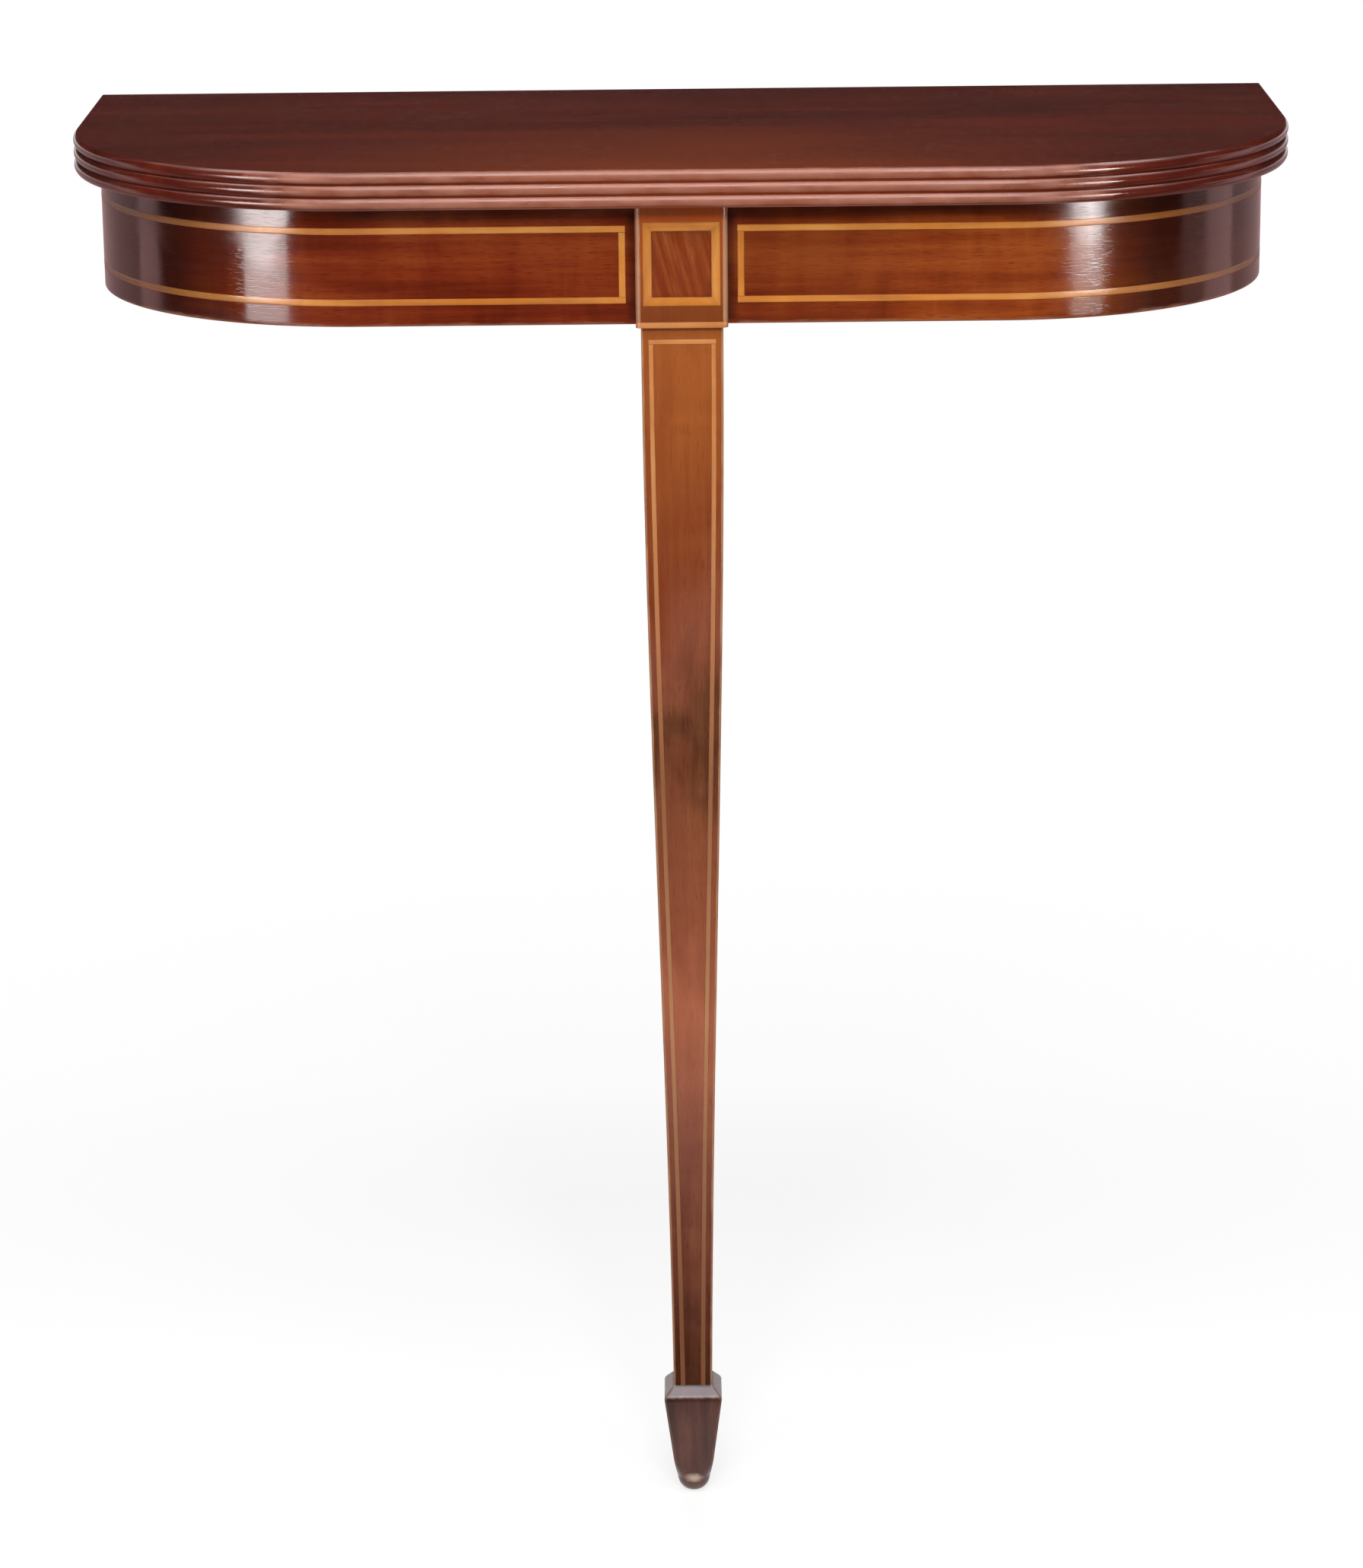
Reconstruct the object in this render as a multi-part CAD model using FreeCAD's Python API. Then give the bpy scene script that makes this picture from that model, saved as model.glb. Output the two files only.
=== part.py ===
import FreeCAD, Part
import math
import os

from FreeCAD import Vector

# D-shaped console table that is screwed to a wall and stands on one tapered leg in front.
# Millimetres. The origin is on the floor under the middle of the top. +X is the right-hand side
# seen from the front, +Y points to the wall and +Z is up.

# Top board and its reeded edge
TABLE_HEIGHT = 750.0
TOP_WIDTH = 660.0
TOP_DEPTH = 285.0
TOP_THICKNESS = 20.0
TOP_CORNER_RADIUS = 162.0
REED_COUNT = 3
REED_DEPTH = 1.6

# Frieze: bricks of softwood in courses, with veneer over them
FRIEZE_HEIGHT = 63.0
OVERHANG = 14.0
VENEER_THICKNESS = 1.6
CORE_THICKNESS = 24.0
OUTER_COURSE_FRONT_JOINT = 95.0
OUTER_COURSE_CORNER_JOINT_DEG = 45.0
MIDDLE_COURSE_FRONT_JOINT = 140.0
MIDDLE_COURSE_CORNER_JOINT_DEG = 67.5
BRICK_FLAT_TURN_DEG = 22.5

# String lines let into the frieze veneer
FRIEZE_STRING_WIDTH = 3.6
STRING_DEPTH = 1.0
FRIEZE_STRING_BORDER = 11.0
FRIEZE_STRING_END_BORDER = 5.0

# Back rail against the wall and its two screw holes
RAIL_THICKNESS = 22.0
WALL_SCREW_SPACING = 400.0
WALL_SCREW_HOLE_RADIUS = 2.75
WALL_SCREW_SINK_RADIUS = 5.5

# Leg: a square head that is forked over the frieze, and a tapered shaft below it
HEAD_SIZE = 49.0
HEAD_PROUD = 3.0
HEAD_DROP = 1.6
TONGUE_THICKNESS = 10.0
TONGUE_SETBACK = 6.0
SHAFT_SHOULDER = 2.6
SHAFT_KNEE_TAPER = 0.8
SHAFT_KNEE_DROP = 105.0
SHAFT_ANKLE_WIDTH = 21.4
SHAFT_HOLLOW = 0.3
LEG_STRING_WIDTH = 2.6
LEG_STRING_INSET = 3.8
LEG_STRING_DROP = 6.4
CUFF_STRING_WIDTH = 3.2
CUFF_STRING_DEPTH = 1.5

# Tablet let into the head of the leg
TABLET_SIDE_BORDER = 4.3
TABLET_TOP_BORDER = 9.0
TABLET_CUFF_BORDER = 8.4
TABLET_STRING_WIDTH = 4.8
TABLET_DEPTH = 1.2

# Spade foot with a turned toe
FOOT_HEIGHT = 66.0
COLLAR_WIDTH = 32.2
SHOULDER_RISE = 6.0
FOOT_BOTTOM_WIDTH = 16.9
TOE_FLAT_RADIUS = 4.0
TOE_RADIUS = 9.4
TOE_FLARE_DEG = 28.0
TENON_RADIUS = 5.0
TENON_LENGTH = 26.0

# Pegs through the forked joint
PEG_RADIUS = 4.0
PEG_BITE = 6.0

# Glued blocks that hold the top down on the frieze and the rail
BLOCK_LENGTH = 60.0
BLOCK_SIZE = 28.0
BLOCK_CHAMFER = 10.0
SIDE_BLOCK_CLEARANCE = 20.0

# Room round pegs and tenon, and at the bottom of their holes
FIT_CLEARANCE = 0.1
HOLE_END_CLEARANCE = 0.8

# Levels and places worked out from the sizes above
FRONT = -TOP_DEPTH / 2
WALL = TOP_DEPTH / 2
UNDERSIDE = TABLE_HEIGHT - TOP_THICKNESS
FRIEZE_BOTTOM = UNDERSIDE - FRIEZE_HEIGHT
COURSES = ("lower", "middle", "upper")
COURSE_HEIGHT = FRIEZE_HEIGHT / len(COURSES)
CORE_INSET = OVERHANG + VENEER_THICKNESS
CORE_BACK = FRONT + CORE_INSET + CORE_THICKNESS
RAIL_FACE = WALL - RAIL_THICKNESS
HEAD_FACE = FRONT + OVERHANG - HEAD_PROUD
HEAD_BOTTOM = FRIEZE_BOTTOM - HEAD_DROP
LEG_Y = HEAD_FACE + HEAD_SIZE / 2
TONGUE_FACE = FRONT + CORE_INSET + TONGUE_SETBACK
FRONT_RUN = TOP_WIDTH / 2 - TOP_CORNER_RADIUS
CORNER_RUN = TOP_CORNER_RADIUS * math.pi / 2
SIDE_RUN = TOP_DEPTH - TOP_CORNER_RADIUS
PATH_END = FRONT_RUN + CORNER_RUN + SIDE_RUN
RAIL_STATION = PATH_END - RAIL_THICKNESS
REED_ROOT = 2 * REED_DEPTH
MARGIN = 1.0
QUARTER_TURN = 90
FULL_TURN = 360


def up(distance):
    return Vector(0, 0, distance)


def line(start, end):
    return Part.LineSegment(start, end).toShape()


def box(x_range, y_range, z_range):
    """Box between two limits on each axis."""
    size = [limits[1] - limits[0] for limits in (x_range, y_range, z_range)]
    return Part.makeBox(*size, Vector(x_range[0], y_range[0], z_range[0]))


def outline_point(station, inset, z):
    """Point at a distance along the top's edge from the front centre, moved inwards by the inset.

    The edge runs straight along the front, round a quarter circle and straight back to the wall.
    Stations left of the centre are negative.
    """
    side = -1 if station < 0 else 1
    along = abs(station)
    if along <= FRONT_RUN:
        return Vector(side * along, FRONT + inset, z)
    if along >= FRONT_RUN + CORNER_RUN:
        back = along - FRONT_RUN - CORNER_RUN
        return Vector(side * (TOP_WIDTH / 2 - inset), FRONT + TOP_CORNER_RADIUS + back, z)
    turn = (along - FRONT_RUN) / TOP_CORNER_RADIUS
    radius = TOP_CORNER_RADIUS - inset
    x = FRONT_RUN + radius * math.sin(turn)
    y = FRONT + TOP_CORNER_RADIUS - radius * math.cos(turn)
    return Vector(side * x, y, z)


def corner_station(degrees):
    """Station on the rounded corner, by the angle from its front end."""
    return FRONT_RUN + TOP_CORNER_RADIUS * math.radians(degrees)


def path_edges(first, last, inset, z):
    """Lines and arcs along the outline between two stations."""
    bends = (-FRONT_RUN - CORNER_RUN, -FRONT_RUN, FRONT_RUN, FRONT_RUN + CORNER_RUN)
    stops = [first] + [bend for bend in bends if first < bend < last] + [last]
    edges = []
    for start, end in zip(stops, stops[1:]):
        middle = (start + end) / 2
        points = [outline_point(station, inset, z) for station in (start, middle, end)]
        if FRONT_RUN < abs(middle) < FRONT_RUN + CORNER_RUN:
            edges.append(Part.Arc(*points).toShape())
        else:
            edges.append(line(points[0], points[2]))
    return edges


def path_flats(first, last, inset, z):
    """Short flats along the outline between two stations, as a saw leaves the hidden side of a curve."""
    steps = round(QUARTER_TURN / BRICK_FLAT_TURN_DEG)
    turns = [FRONT_RUN + CORNER_RUN * step / steps for step in range(steps + 1)]
    bends = [-turn for turn in reversed(turns)] + turns
    stops = [first] + [bend for bend in bends if first + MARGIN < bend < last - MARGIN] + [last]
    points = [outline_point(station, inset, z) for station in stops]
    return [line(start, end) for start, end in zip(points, points[1:])]


def band(first, last, inset, thickness, z_low, z_high, inner_path=path_edges):
    """Solid that follows the outline between two stations, as a brick, veneer or string does."""
    outer = path_edges(first, last, inset, z_low)
    inner = inner_path(first, last, inset + thickness, z_low)
    caps = []
    for station in (first, last):
        caps.append(line(outline_point(station, inset, z_low),
                         outline_point(station, inset + thickness, z_low)))
    ring = Part.Wire(Part.__sortEdges__(outer + inner + caps))
    return Part.Face(ring).extrude(up(z_high - z_low))


def both_sides(first, last):
    """The same stretch of the outline on the left and on the right of the centre."""
    return {"left": (-last, -first), "right": (first, last)}


def block_places():
    """Middle of each block's glued upper edge, its inward direction and its length.

    A side block fills the straight run between the corner and the rail, less a clearance at each end.
    """
    front_x = (HEAD_SIZE / 2 + FRONT_RUN) / 2
    side_x = TOP_WIDTH / 2 - CORE_INSET - CORE_THICKNESS
    side_y = (FRONT + TOP_CORNER_RADIUS + RAIL_FACE) / 2
    side_length = RAIL_FACE - FRONT - TOP_CORNER_RADIUS - 2 * SIDE_BLOCK_CLEARANCE
    rail_x = WALL_SCREW_SPACING / 4
    places = []
    for side in (-1, 1):
        places.append((Vector(side * front_x, CORE_BACK, UNDERSIDE), Vector(0, 1, 0), BLOCK_LENGTH))
        places.append((Vector(side * side_x, side_y, UNDERSIDE), Vector(-side, 0, 0), side_length))
        places.append((Vector(side * rail_x, RAIL_FACE, UNDERSIDE), Vector(0, -1, 0), BLOCK_LENGTH))
    return places


def make_fixing_blocks():
    """Softwood blocks glued into the angle under the top, with the free edge planed off."""
    free = BLOCK_SIZE - BLOCK_CHAMFER
    section = ((0, 0), (BLOCK_SIZE, 0), (BLOCK_SIZE, -free), (free, -BLOCK_SIZE), (0, -BLOCK_SIZE))
    blocks = []
    for edge, inward, length in block_places():
        along = inward.cross(up(1))
        start = edge - along * (length / 2)
        corners = [start + inward * reach + up(z) for reach, z in section]
        blocks.append(Part.Face(Part.makePolygon(corners + corners[:1])).extrude(along * length))
    return Part.makeCompound(blocks)


def reed_section(station):
    """Section through the board's edge at a station: a column of round reeds on a flat root."""
    reed_height = TOP_THICKNESS / REED_COUNT
    section = []
    for reed in range(REED_COUNT):
        low = UNDERSIDE + reed * reed_height
        section.append(Part.Arc(outline_point(station, REED_DEPTH, low),
                                outline_point(station, 0.0, low + reed_height / 2),
                                outline_point(station, REED_DEPTH, low + reed_height)).toShape())
    corners = ((REED_DEPTH, TABLE_HEIGHT), (REED_ROOT, TABLE_HEIGHT), (REED_ROOT, UNDERSIDE),
               (REED_DEPTH, UNDERSIDE))
    points = [outline_point(station, inset, z) for inset, z in corners]
    section += [line(start, end) for start, end in zip(points, points[1:])]
    return Part.Face(Part.Wire(section))


def make_top_board():
    """Board with a flat back edge, worked into a column of round reeds on its other edges.

    The reeds are drawn along the straight runs and turned round the two corners.
    """
    inner = path_edges(-PATH_END, PATH_END, REED_ROOT, UNDERSIDE)
    back = line(outline_point(PATH_END, REED_ROOT, UNDERSIDE),
                outline_point(-PATH_END, REED_ROOT, UNDERSIDE))
    board = Part.Face(Part.Wire(inner + [back])).extrude(up(TOP_THICKNESS))
    bend = FRONT_RUN + CORNER_RUN
    reeds = []
    for first, last in ((-PATH_END, -bend), (-FRONT_RUN, FRONT_RUN), (bend, PATH_END)):
        run = outline_point(last, 0.0, 0.0) - outline_point(first, 0.0, 0.0)
        reeds.append(reed_section(first).extrude(run))
    for side, first in ((-1, -bend), (1, FRONT_RUN)):
        centre = Vector(side * FRONT_RUN, FRONT + TOP_CORNER_RADIUS, 0)
        reeds.append(reed_section(first).revolve(centre, up(1), QUARTER_TURN))
    return board.fuse(reeds).removeSplitter()


def shaft_edge(inset):
    """Side of the shaft as a curve from its top to its ankle: half width against height.

    It falls almost plumb to the knee, then runs in to the ankle along a slightly hollow line.
    """
    knee = HEAD_BOTTOM - SHAFT_KNEE_DROP
    middle = (knee + FOOT_HEIGHT) / 2
    top_half = HEAD_SIZE / 2 - SHAFT_SHOULDER
    knee_half = top_half - SHAFT_KNEE_TAPER
    ankle_half = SHAFT_ANKLE_WIDTH / 2
    middle_half = (knee_half + ankle_half) / 2 - SHAFT_HOLLOW
    halves = ((top_half, HEAD_BOTTOM), (knee_half, knee), (middle_half, middle), (ankle_half, FOOT_HEIGHT))
    return [(half - inset, z) for half, z in halves]


def view_solid(edges, through):
    """Solid with the outline of the leg or the foot in one view, as deep as the leg in the other."""
    return Part.Face(Part.Wire(Part.__sortEdges__(edges))).extrude(through * (2 * HEAD_SIZE))


def view_directions():
    """Across and through directions of the front view and of the side view."""
    x_axis = Vector(1, 0, 0)
    y_axis = Vector(0, 1, 0)
    return ((x_axis, y_axis), (y_axis, x_axis))


def shaft_outline(inset, across, through):
    """The shaft's outline in one view, narrowed by the inset on both sides."""
    axis = Vector(0, LEG_Y, 0) - through * HEAD_SIZE
    sides = []
    for sign in (-1, 1):
        curve = Part.BSplineCurve()
        curve.interpolate([axis + across * (sign * half) + up(z) for half, z in shaft_edge(inset)])
        sides.append(curve.toShape())
    left, right = sides
    ends = [line(left.valueAt(left.FirstParameter), right.valueAt(right.FirstParameter)),
            line(left.valueAt(left.LastParameter), right.valueAt(right.LastParameter))]
    return view_solid(sides + ends, through)


def make_shaft():
    """Square shaft, the same taper on all four faces."""
    front, side = [shaft_outline(0.0, *directions) for directions in view_directions()]
    return front.common(side)


def make_head():
    """Square head with rounded front corners, forked to sit astride the frieze's tongue."""
    half = HEAD_SIZE / 2
    head = box((-half, half), (HEAD_FACE, HEAD_FACE + HEAD_SIZE), (HEAD_BOTTOM, UNDERSIDE))
    corners = []
    for edge in head.Edges:
        middle = edge.CenterOfMass
        upright = abs(middle.z - (HEAD_BOTTOM + UNDERSIDE) / 2) < MARGIN
        if upright and abs(middle.y - HEAD_FACE) < MARGIN and abs(abs(middle.x) - half) < MARGIN:
            corners.append(edge)
    head = head.makeFillet(HEAD_PROUD, corners)
    fork = box((-half - MARGIN, half + MARGIN), (TONGUE_FACE, TONGUE_FACE + TONGUE_THICKNESS),
               (FRIEZE_BOTTOM, UNDERSIDE + MARGIN))
    return head.cut(fork)


def make_leg_strings(shaft):
    """Three string lines let into the front of the shaft: one across its top, two down its sides."""
    face_layer = shaft.cut(shaft.translated(Vector(0, STRING_DEPTH, 0)))
    front_view = view_directions()[0]
    outside = face_layer.common(shaft_outline(LEG_STRING_INSET, *front_view))
    inside = shaft_outline(LEG_STRING_INSET + LEG_STRING_WIDTH, *front_view)
    top = HEAD_BOTTOM - LEG_STRING_DROP
    low = top - LEG_STRING_WIDTH
    wide = (-HEAD_SIZE, HEAD_SIZE)
    deep = (HEAD_FACE - MARGIN, HEAD_FACE + HEAD_SIZE)
    strings = {"leg_string_top": outside.common(box(wide, deep, (low, top)))}
    uprights = outside.cut(inside).common(box(wide, deep, (FOOT_HEIGHT, low)))
    strings["leg_string_left"] = uprights.common(box((-HEAD_SIZE, 0), deep, (FOOT_HEIGHT, low)))
    strings["leg_string_right"] = uprights.common(box((0, HEAD_SIZE), deep, (FOOT_HEIGHT, low)))
    return {name: shape.Solids[0] for name, shape in strings.items()}


def make_tablet():
    """Figured panel in a frame of four mitred strings, flush with the face of the head."""
    half = HEAD_SIZE / 2 - TABLET_SIDE_BORDER
    top = UNDERSIDE - TABLET_TOP_BORDER
    bottom = HEAD_BOTTOM + CUFF_STRING_WIDTH + TABLET_CUFF_BORDER
    outer = [(-half, bottom), (half, bottom), (half, top), (-half, top)]
    inward = [(1, 1), (-1, 1), (-1, -1), (1, -1)]
    inner = [(x + sx * TABLET_STRING_WIDTH, z + sz * TABLET_STRING_WIDTH)
             for (x, z), (sx, sz) in zip(outer, inward)]

    def plate(corners):
        points = [Vector(x, HEAD_FACE, z) for x, z in corners]
        face = Part.Face(Part.makePolygon(points + points[:1]))
        return face.extrude(Vector(0, TABLET_DEPTH, 0))

    pieces = {"tablet_panel": plate(inner)}
    for index, name in enumerate(("bottom", "right", "top", "left")):
        following = (index + 1) % len(outer)
        pieces["tablet_string_" + name] = plate(
            [outer[index], outer[following], inner[following], inner[index]])
    return pieces


def make_cuff_string(head):
    """String along the lower front edge of the head, rounded off with its corners."""
    head_width = (-HEAD_SIZE / 2, HEAD_SIZE / 2)
    strip = box(head_width, (HEAD_FACE, HEAD_FACE + CUFF_STRING_DEPTH),
                (HEAD_BOTTOM, HEAD_BOTTOM + CUFF_STRING_WIDTH))
    return strip.common(head)


def foot_outline(across, through):
    """The foot's outline in one view: tapering body, collar and sloped shoulder."""
    axis = Vector(0, LEG_Y, 0) - through * HEAD_SIZE
    half_outline = [(FOOT_BOTTOM_WIDTH / 2, 0.0), (COLLAR_WIDTH / 2, FOOT_HEIGHT - SHOULDER_RISE),
                    (SHAFT_ANKLE_WIDTH / 2, FOOT_HEIGHT)]
    right = [axis + across * half + up(z) for half, z in half_outline]
    left = [axis - across * half + up(z) for half, z in half_outline]
    corners = right + left[::-1]
    return view_solid([line(start, end) for start, end in zip(corners, corners[1:] + corners[:1])], through)


def make_foot():
    """Spade foot: square body with a turned ball toe, bored for the leg's tenon."""
    front, side = [foot_outline(*directions) for directions in view_directions()]
    ball_centre = math.sqrt(TOE_RADIUS ** 2 - TOE_FLAT_RADIUS ** 2)
    flare_end = TOE_RADIUS + (FOOT_HEIGHT - ball_centre) * math.tan(math.radians(TOE_FLARE_DEG))
    half_turn_down = math.asin(ball_centre / TOE_RADIUS) / 2

    def at(radius, z):
        return Vector(radius, LEG_Y, z)

    ball = Part.Arc(at(TOE_FLAT_RADIUS, 0),
                    at(TOE_RADIUS * math.cos(half_turn_down),
                       ball_centre - TOE_RADIUS * math.sin(half_turn_down)),
                    at(TOE_RADIUS, ball_centre)).toShape()
    profile = [line(at(0, 0), at(TOE_FLAT_RADIUS, 0)), ball,
               line(at(TOE_RADIUS, ball_centre), at(flare_end, FOOT_HEIGHT)),
               line(at(flare_end, FOOT_HEIGHT), at(0, FOOT_HEIGHT)), line(at(0, FOOT_HEIGHT), at(0, 0))]
    turning = Part.Face(Part.Wire(profile)).revolve(at(0, 0), up(1), FULL_TURN)
    depth = TENON_LENGTH + HOLE_END_CLEARANCE
    bore = Part.makeCylinder(TENON_RADIUS + FIT_CLEARANCE, depth, at(0, FOOT_HEIGHT - depth))
    return front.common(side).common(turning).cut(bore)


def make_pegs(grow, reach):
    """Pegs from the back of the head through the tongue, one in the lowest and one in the top course."""
    back = HEAD_FACE + HEAD_SIZE
    end = TONGUE_FACE - PEG_BITE - reach
    pegs = []
    for z in (FRIEZE_BOTTOM + COURSE_HEIGHT / 2, UNDERSIDE - COURSE_HEIGHT / 2):
        pegs.append(Part.makeCylinder(PEG_RADIUS + grow, back - end, Vector(0, end, z), Vector(0, 1, 0)))
    return pegs


def make_bricks():
    """Three courses of softwood bricks, sawn to the curve outside and to flats inside.

    The middle course breaks joint with the others and ends through the rail.
    """
    outer = (OUTER_COURSE_FRONT_JOINT, corner_station(OUTER_COURSE_CORNER_JOINT_DEG), RAIL_STATION)
    middle = (MIDDLE_COURSE_FRONT_JOINT, corner_station(MIDDLE_COURSE_CORNER_JOINT_DEG), PATH_END)
    bricks = {}
    for course, level in enumerate(COURSES):
        joints = middle if level == "middle" else outer
        low = FRIEZE_BOTTOM + course * COURSE_HEIGHT
        stretches = {"centre": (-joints[0], joints[0])}
        for name, first, last in (("", joints[0], joints[1]), ("_end", joints[1], joints[2])):
            for side, stretch in both_sides(first, last).items():
                stretches[side + name] = stretch
        for place, (first, last) in stretches.items():
            brick = band(first, last, CORE_INSET, CORE_THICKNESS, low, low + COURSE_HEIGHT, path_flats)
            bricks["brick_" + level + "_" + place] = brick
    return bricks


def make_frieze_strings():
    """Rectangle of string lines on each half of the frieze, in its upright and lengthwise pieces."""
    low = FRIEZE_BOTTOM + FRIEZE_STRING_BORDER
    high = UNDERSIDE - FRIEZE_STRING_BORDER
    width = FRIEZE_STRING_WIDTH
    first = HEAD_SIZE / 2 + FRIEZE_STRING_END_BORDER
    last = PATH_END - FRIEZE_STRING_END_BORDER
    pieces = {"lower": (first, last, low, low + width), "upper": (first, last, high - width, high),
              "leg_end": (first, first + width, low + width, high - width),
              "wall_end": (last - width, last, low + width, high - width)}
    strings = {}
    for name, (start, end, bottom, top) in pieces.items():
        for side, stretch in both_sides(start, end).items():
            string = band(*stretch, OVERHANG, STRING_DEPTH, bottom, top)
            strings["frieze_string_" + side + "_" + name] = string
    return strings


def make_rail():
    """Rail along the wall, notched for the middle course and bored for two countersunk wall screws."""
    reach = TOP_WIDTH / 2 - CORE_INSET
    rail = box((-reach, reach), (RAIL_FACE, WALL), (FRIEZE_BOTTOM, UNDERSIDE))
    for station in (-PATH_END, PATH_END):
        first, last = sorted((station, math.copysign(RAIL_STATION, station)))
        rail = rail.cut(band(first, last, CORE_INSET, CORE_THICKNESS,
                             FRIEZE_BOTTOM + COURSE_HEIGHT, UNDERSIDE - COURSE_HEIGHT))
    z = (FRIEZE_BOTTOM + UNDERSIDE) / 2
    to_wall = Vector(0, 1, 0)
    sink_depth = WALL_SCREW_SINK_RADIUS - WALL_SCREW_HOLE_RADIUS
    for x in (-WALL_SCREW_SPACING / 2, WALL_SCREW_SPACING / 2):
        mouth = Vector(x, RAIL_FACE, z)
        rail = rail.cut(Part.makeCylinder(WALL_SCREW_HOLE_RADIUS, RAIL_THICKNESS, mouth, to_wall))
        rail = rail.cut(Part.makeCone(WALL_SCREW_SINK_RADIUS, WALL_SCREW_HOLE_RADIUS, sink_depth,
                                      mouth, to_wall))
    return rail


def build():
    """Every piece of the table by its name, in its place."""
    parts = {"top_board": make_top_board(), "back_rail": make_rail()}

    head = make_head()
    shaft = make_shaft()
    leg_strings = make_leg_strings(shaft)
    tablet = make_tablet()
    cuff = make_cuff_string(head)
    tenon = Part.makeCylinder(TENON_RADIUS, TENON_LENGTH, Vector(0, LEG_Y, FOOT_HEIGHT - TENON_LENGTH))
    leg = head.fuse([shaft, tenon]).removeSplitter()
    for inlay in list(leg_strings.values()) + list(tablet.values()) + [cuff]:
        leg = leg.cut(inlay)
    peg_holes = make_pegs(FIT_CLEARANCE, HOLE_END_CLEARANCE)
    for hole in peg_holes:
        leg = leg.cut(hole)
    parts["leg"] = leg
    parts.update(leg_strings)
    parts.update(tablet)
    parts["cuff_string"] = cuff
    parts["spade_foot"] = make_foot()
    parts["leg_pegs"] = Part.makeCompound(make_pegs(0.0, 0.0))

    for name, brick in make_bricks().items():
        if name.endswith("centre"):
            brick = brick.cut(head)
            for hole in peg_holes:
                brick = brick.cut(hole)
        parts[name] = brick

    strings = make_frieze_strings()
    for side, stretch in both_sides(HEAD_SIZE / 2, PATH_END).items():
        veneer = band(*stretch, OVERHANG, VENEER_THICKNESS, FRIEZE_BOTTOM, UNDERSIDE)
        for name, string in strings.items():
            if side in name:
                veneer = veneer.cut(string)
        parts["frieze_veneer_" + side] = veneer
    parts.update(strings)

    parts["fixing_blocks"] = make_fixing_blocks()
    return parts


os.makedirs("parts", exist_ok=True)
for node, shape in build().items():
    shape.exportStep("parts/" + node + ".step")
    print(node, "solids", len(shape.Solids), "valid", shape.isValid(), "volume", round(shape.Volume, 1))
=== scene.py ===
import bmesh
import bpy
import numpy as np
from mathutils import Matrix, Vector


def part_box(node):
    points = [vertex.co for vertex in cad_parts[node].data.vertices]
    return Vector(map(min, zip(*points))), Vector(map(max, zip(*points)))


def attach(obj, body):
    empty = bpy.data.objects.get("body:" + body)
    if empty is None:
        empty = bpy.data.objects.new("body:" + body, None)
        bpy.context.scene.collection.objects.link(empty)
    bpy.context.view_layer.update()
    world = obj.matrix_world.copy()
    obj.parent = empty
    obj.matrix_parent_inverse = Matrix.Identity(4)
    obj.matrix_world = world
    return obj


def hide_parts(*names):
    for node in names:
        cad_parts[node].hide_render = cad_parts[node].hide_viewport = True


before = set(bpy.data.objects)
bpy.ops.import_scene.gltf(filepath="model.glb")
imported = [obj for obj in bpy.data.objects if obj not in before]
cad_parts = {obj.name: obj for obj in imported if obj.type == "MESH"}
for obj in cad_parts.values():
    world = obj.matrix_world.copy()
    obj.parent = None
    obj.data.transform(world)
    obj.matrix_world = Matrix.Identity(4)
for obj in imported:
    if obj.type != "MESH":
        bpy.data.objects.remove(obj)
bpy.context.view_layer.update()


# Frieze core: fifteen softwood bricks, glued up in three courses with staggered joints and sawn to the D shape.
# The wood was never polished. It shows only from below and behind, with glue lines between the courses.
core_low, core_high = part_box("brick_lower_centre")
course_height = core_high.z - core_low.z


def screen(red, green, blue):
    """Colour for a shader from the 0 to 255 values it has on screen."""
    share = np.array([red, green, blue]) / 255.0
    linear = np.where(share <= 0.04045, share / 12.92, ((share + 0.055) / 1.055) ** 2.4)
    return (*linear.tolist(), 1.0)


def put(tree, kind, feeds=None, **options):
    """One shader node: options are its own settings, and feeds gives its inputs values or sockets."""
    node = tree.nodes.new("ShaderNode" + kind)
    for option, value in options.items():
        setattr(node, option, value)
    for label, feed in (feeds or {}).items():
        if isinstance(feed, bpy.types.NodeSocket):
            tree.links.new(feed, node.inputs[label])
        else:
            node.inputs[label].default_value = feed
    return node


def streaks(tree, place, stretch, detail=3.0, twist=0.0):
    """Noise drawn out along the grain: places are scaled first, so a small first factor makes a long streak."""
    drawn = put(tree, "Mapping", {"Vector": place, "Scale": stretch})
    noise = {"Vector": drawn.outputs[0], "Scale": 1.0, "Detail": detail, "Distortion": twist}
    return put(tree, "TexNoise", noise).outputs["Fac"]


def between(tree, value, low, high, start=0.0, end=1.0):
    """Value carried from the range low to high onto start to end, held at both ends."""
    feeds = {"Value": value, "From Min": low, "From Max": high, "To Min": start, "To Max": end}
    return put(tree, "MapRange", feeds).outputs["Result"]


def sums(tree, operation, first, second=0.0, third=0.0):
    """One step of arithmetic on values over the surface."""
    return put(tree, "Math", {0: first, 1: second, 2: third}, operation=operation).outputs[0]


def weighed(tree, *parts):
    """Sum of values, each times its weight."""
    total = 0.0
    for value, weight in parts:
        total = sums(tree, "MULTIPLY_ADD", value, weight, total)
    return total


def mixed(tree, share, first, second):
    """Second colour laid over the first by its share."""
    return put(tree, "Mix", {0: share, 6: first, 7: second}, data_type="RGBA").outputs[2]


def tinted(tree, colour, shade, share, value, low, high):
    """Colour carried towards a screen shade, by a share that grows as a value goes from low to high."""
    return mixed(tree, between(tree, value, low, high, 0.0, share), colour, screen(*shade))


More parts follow.
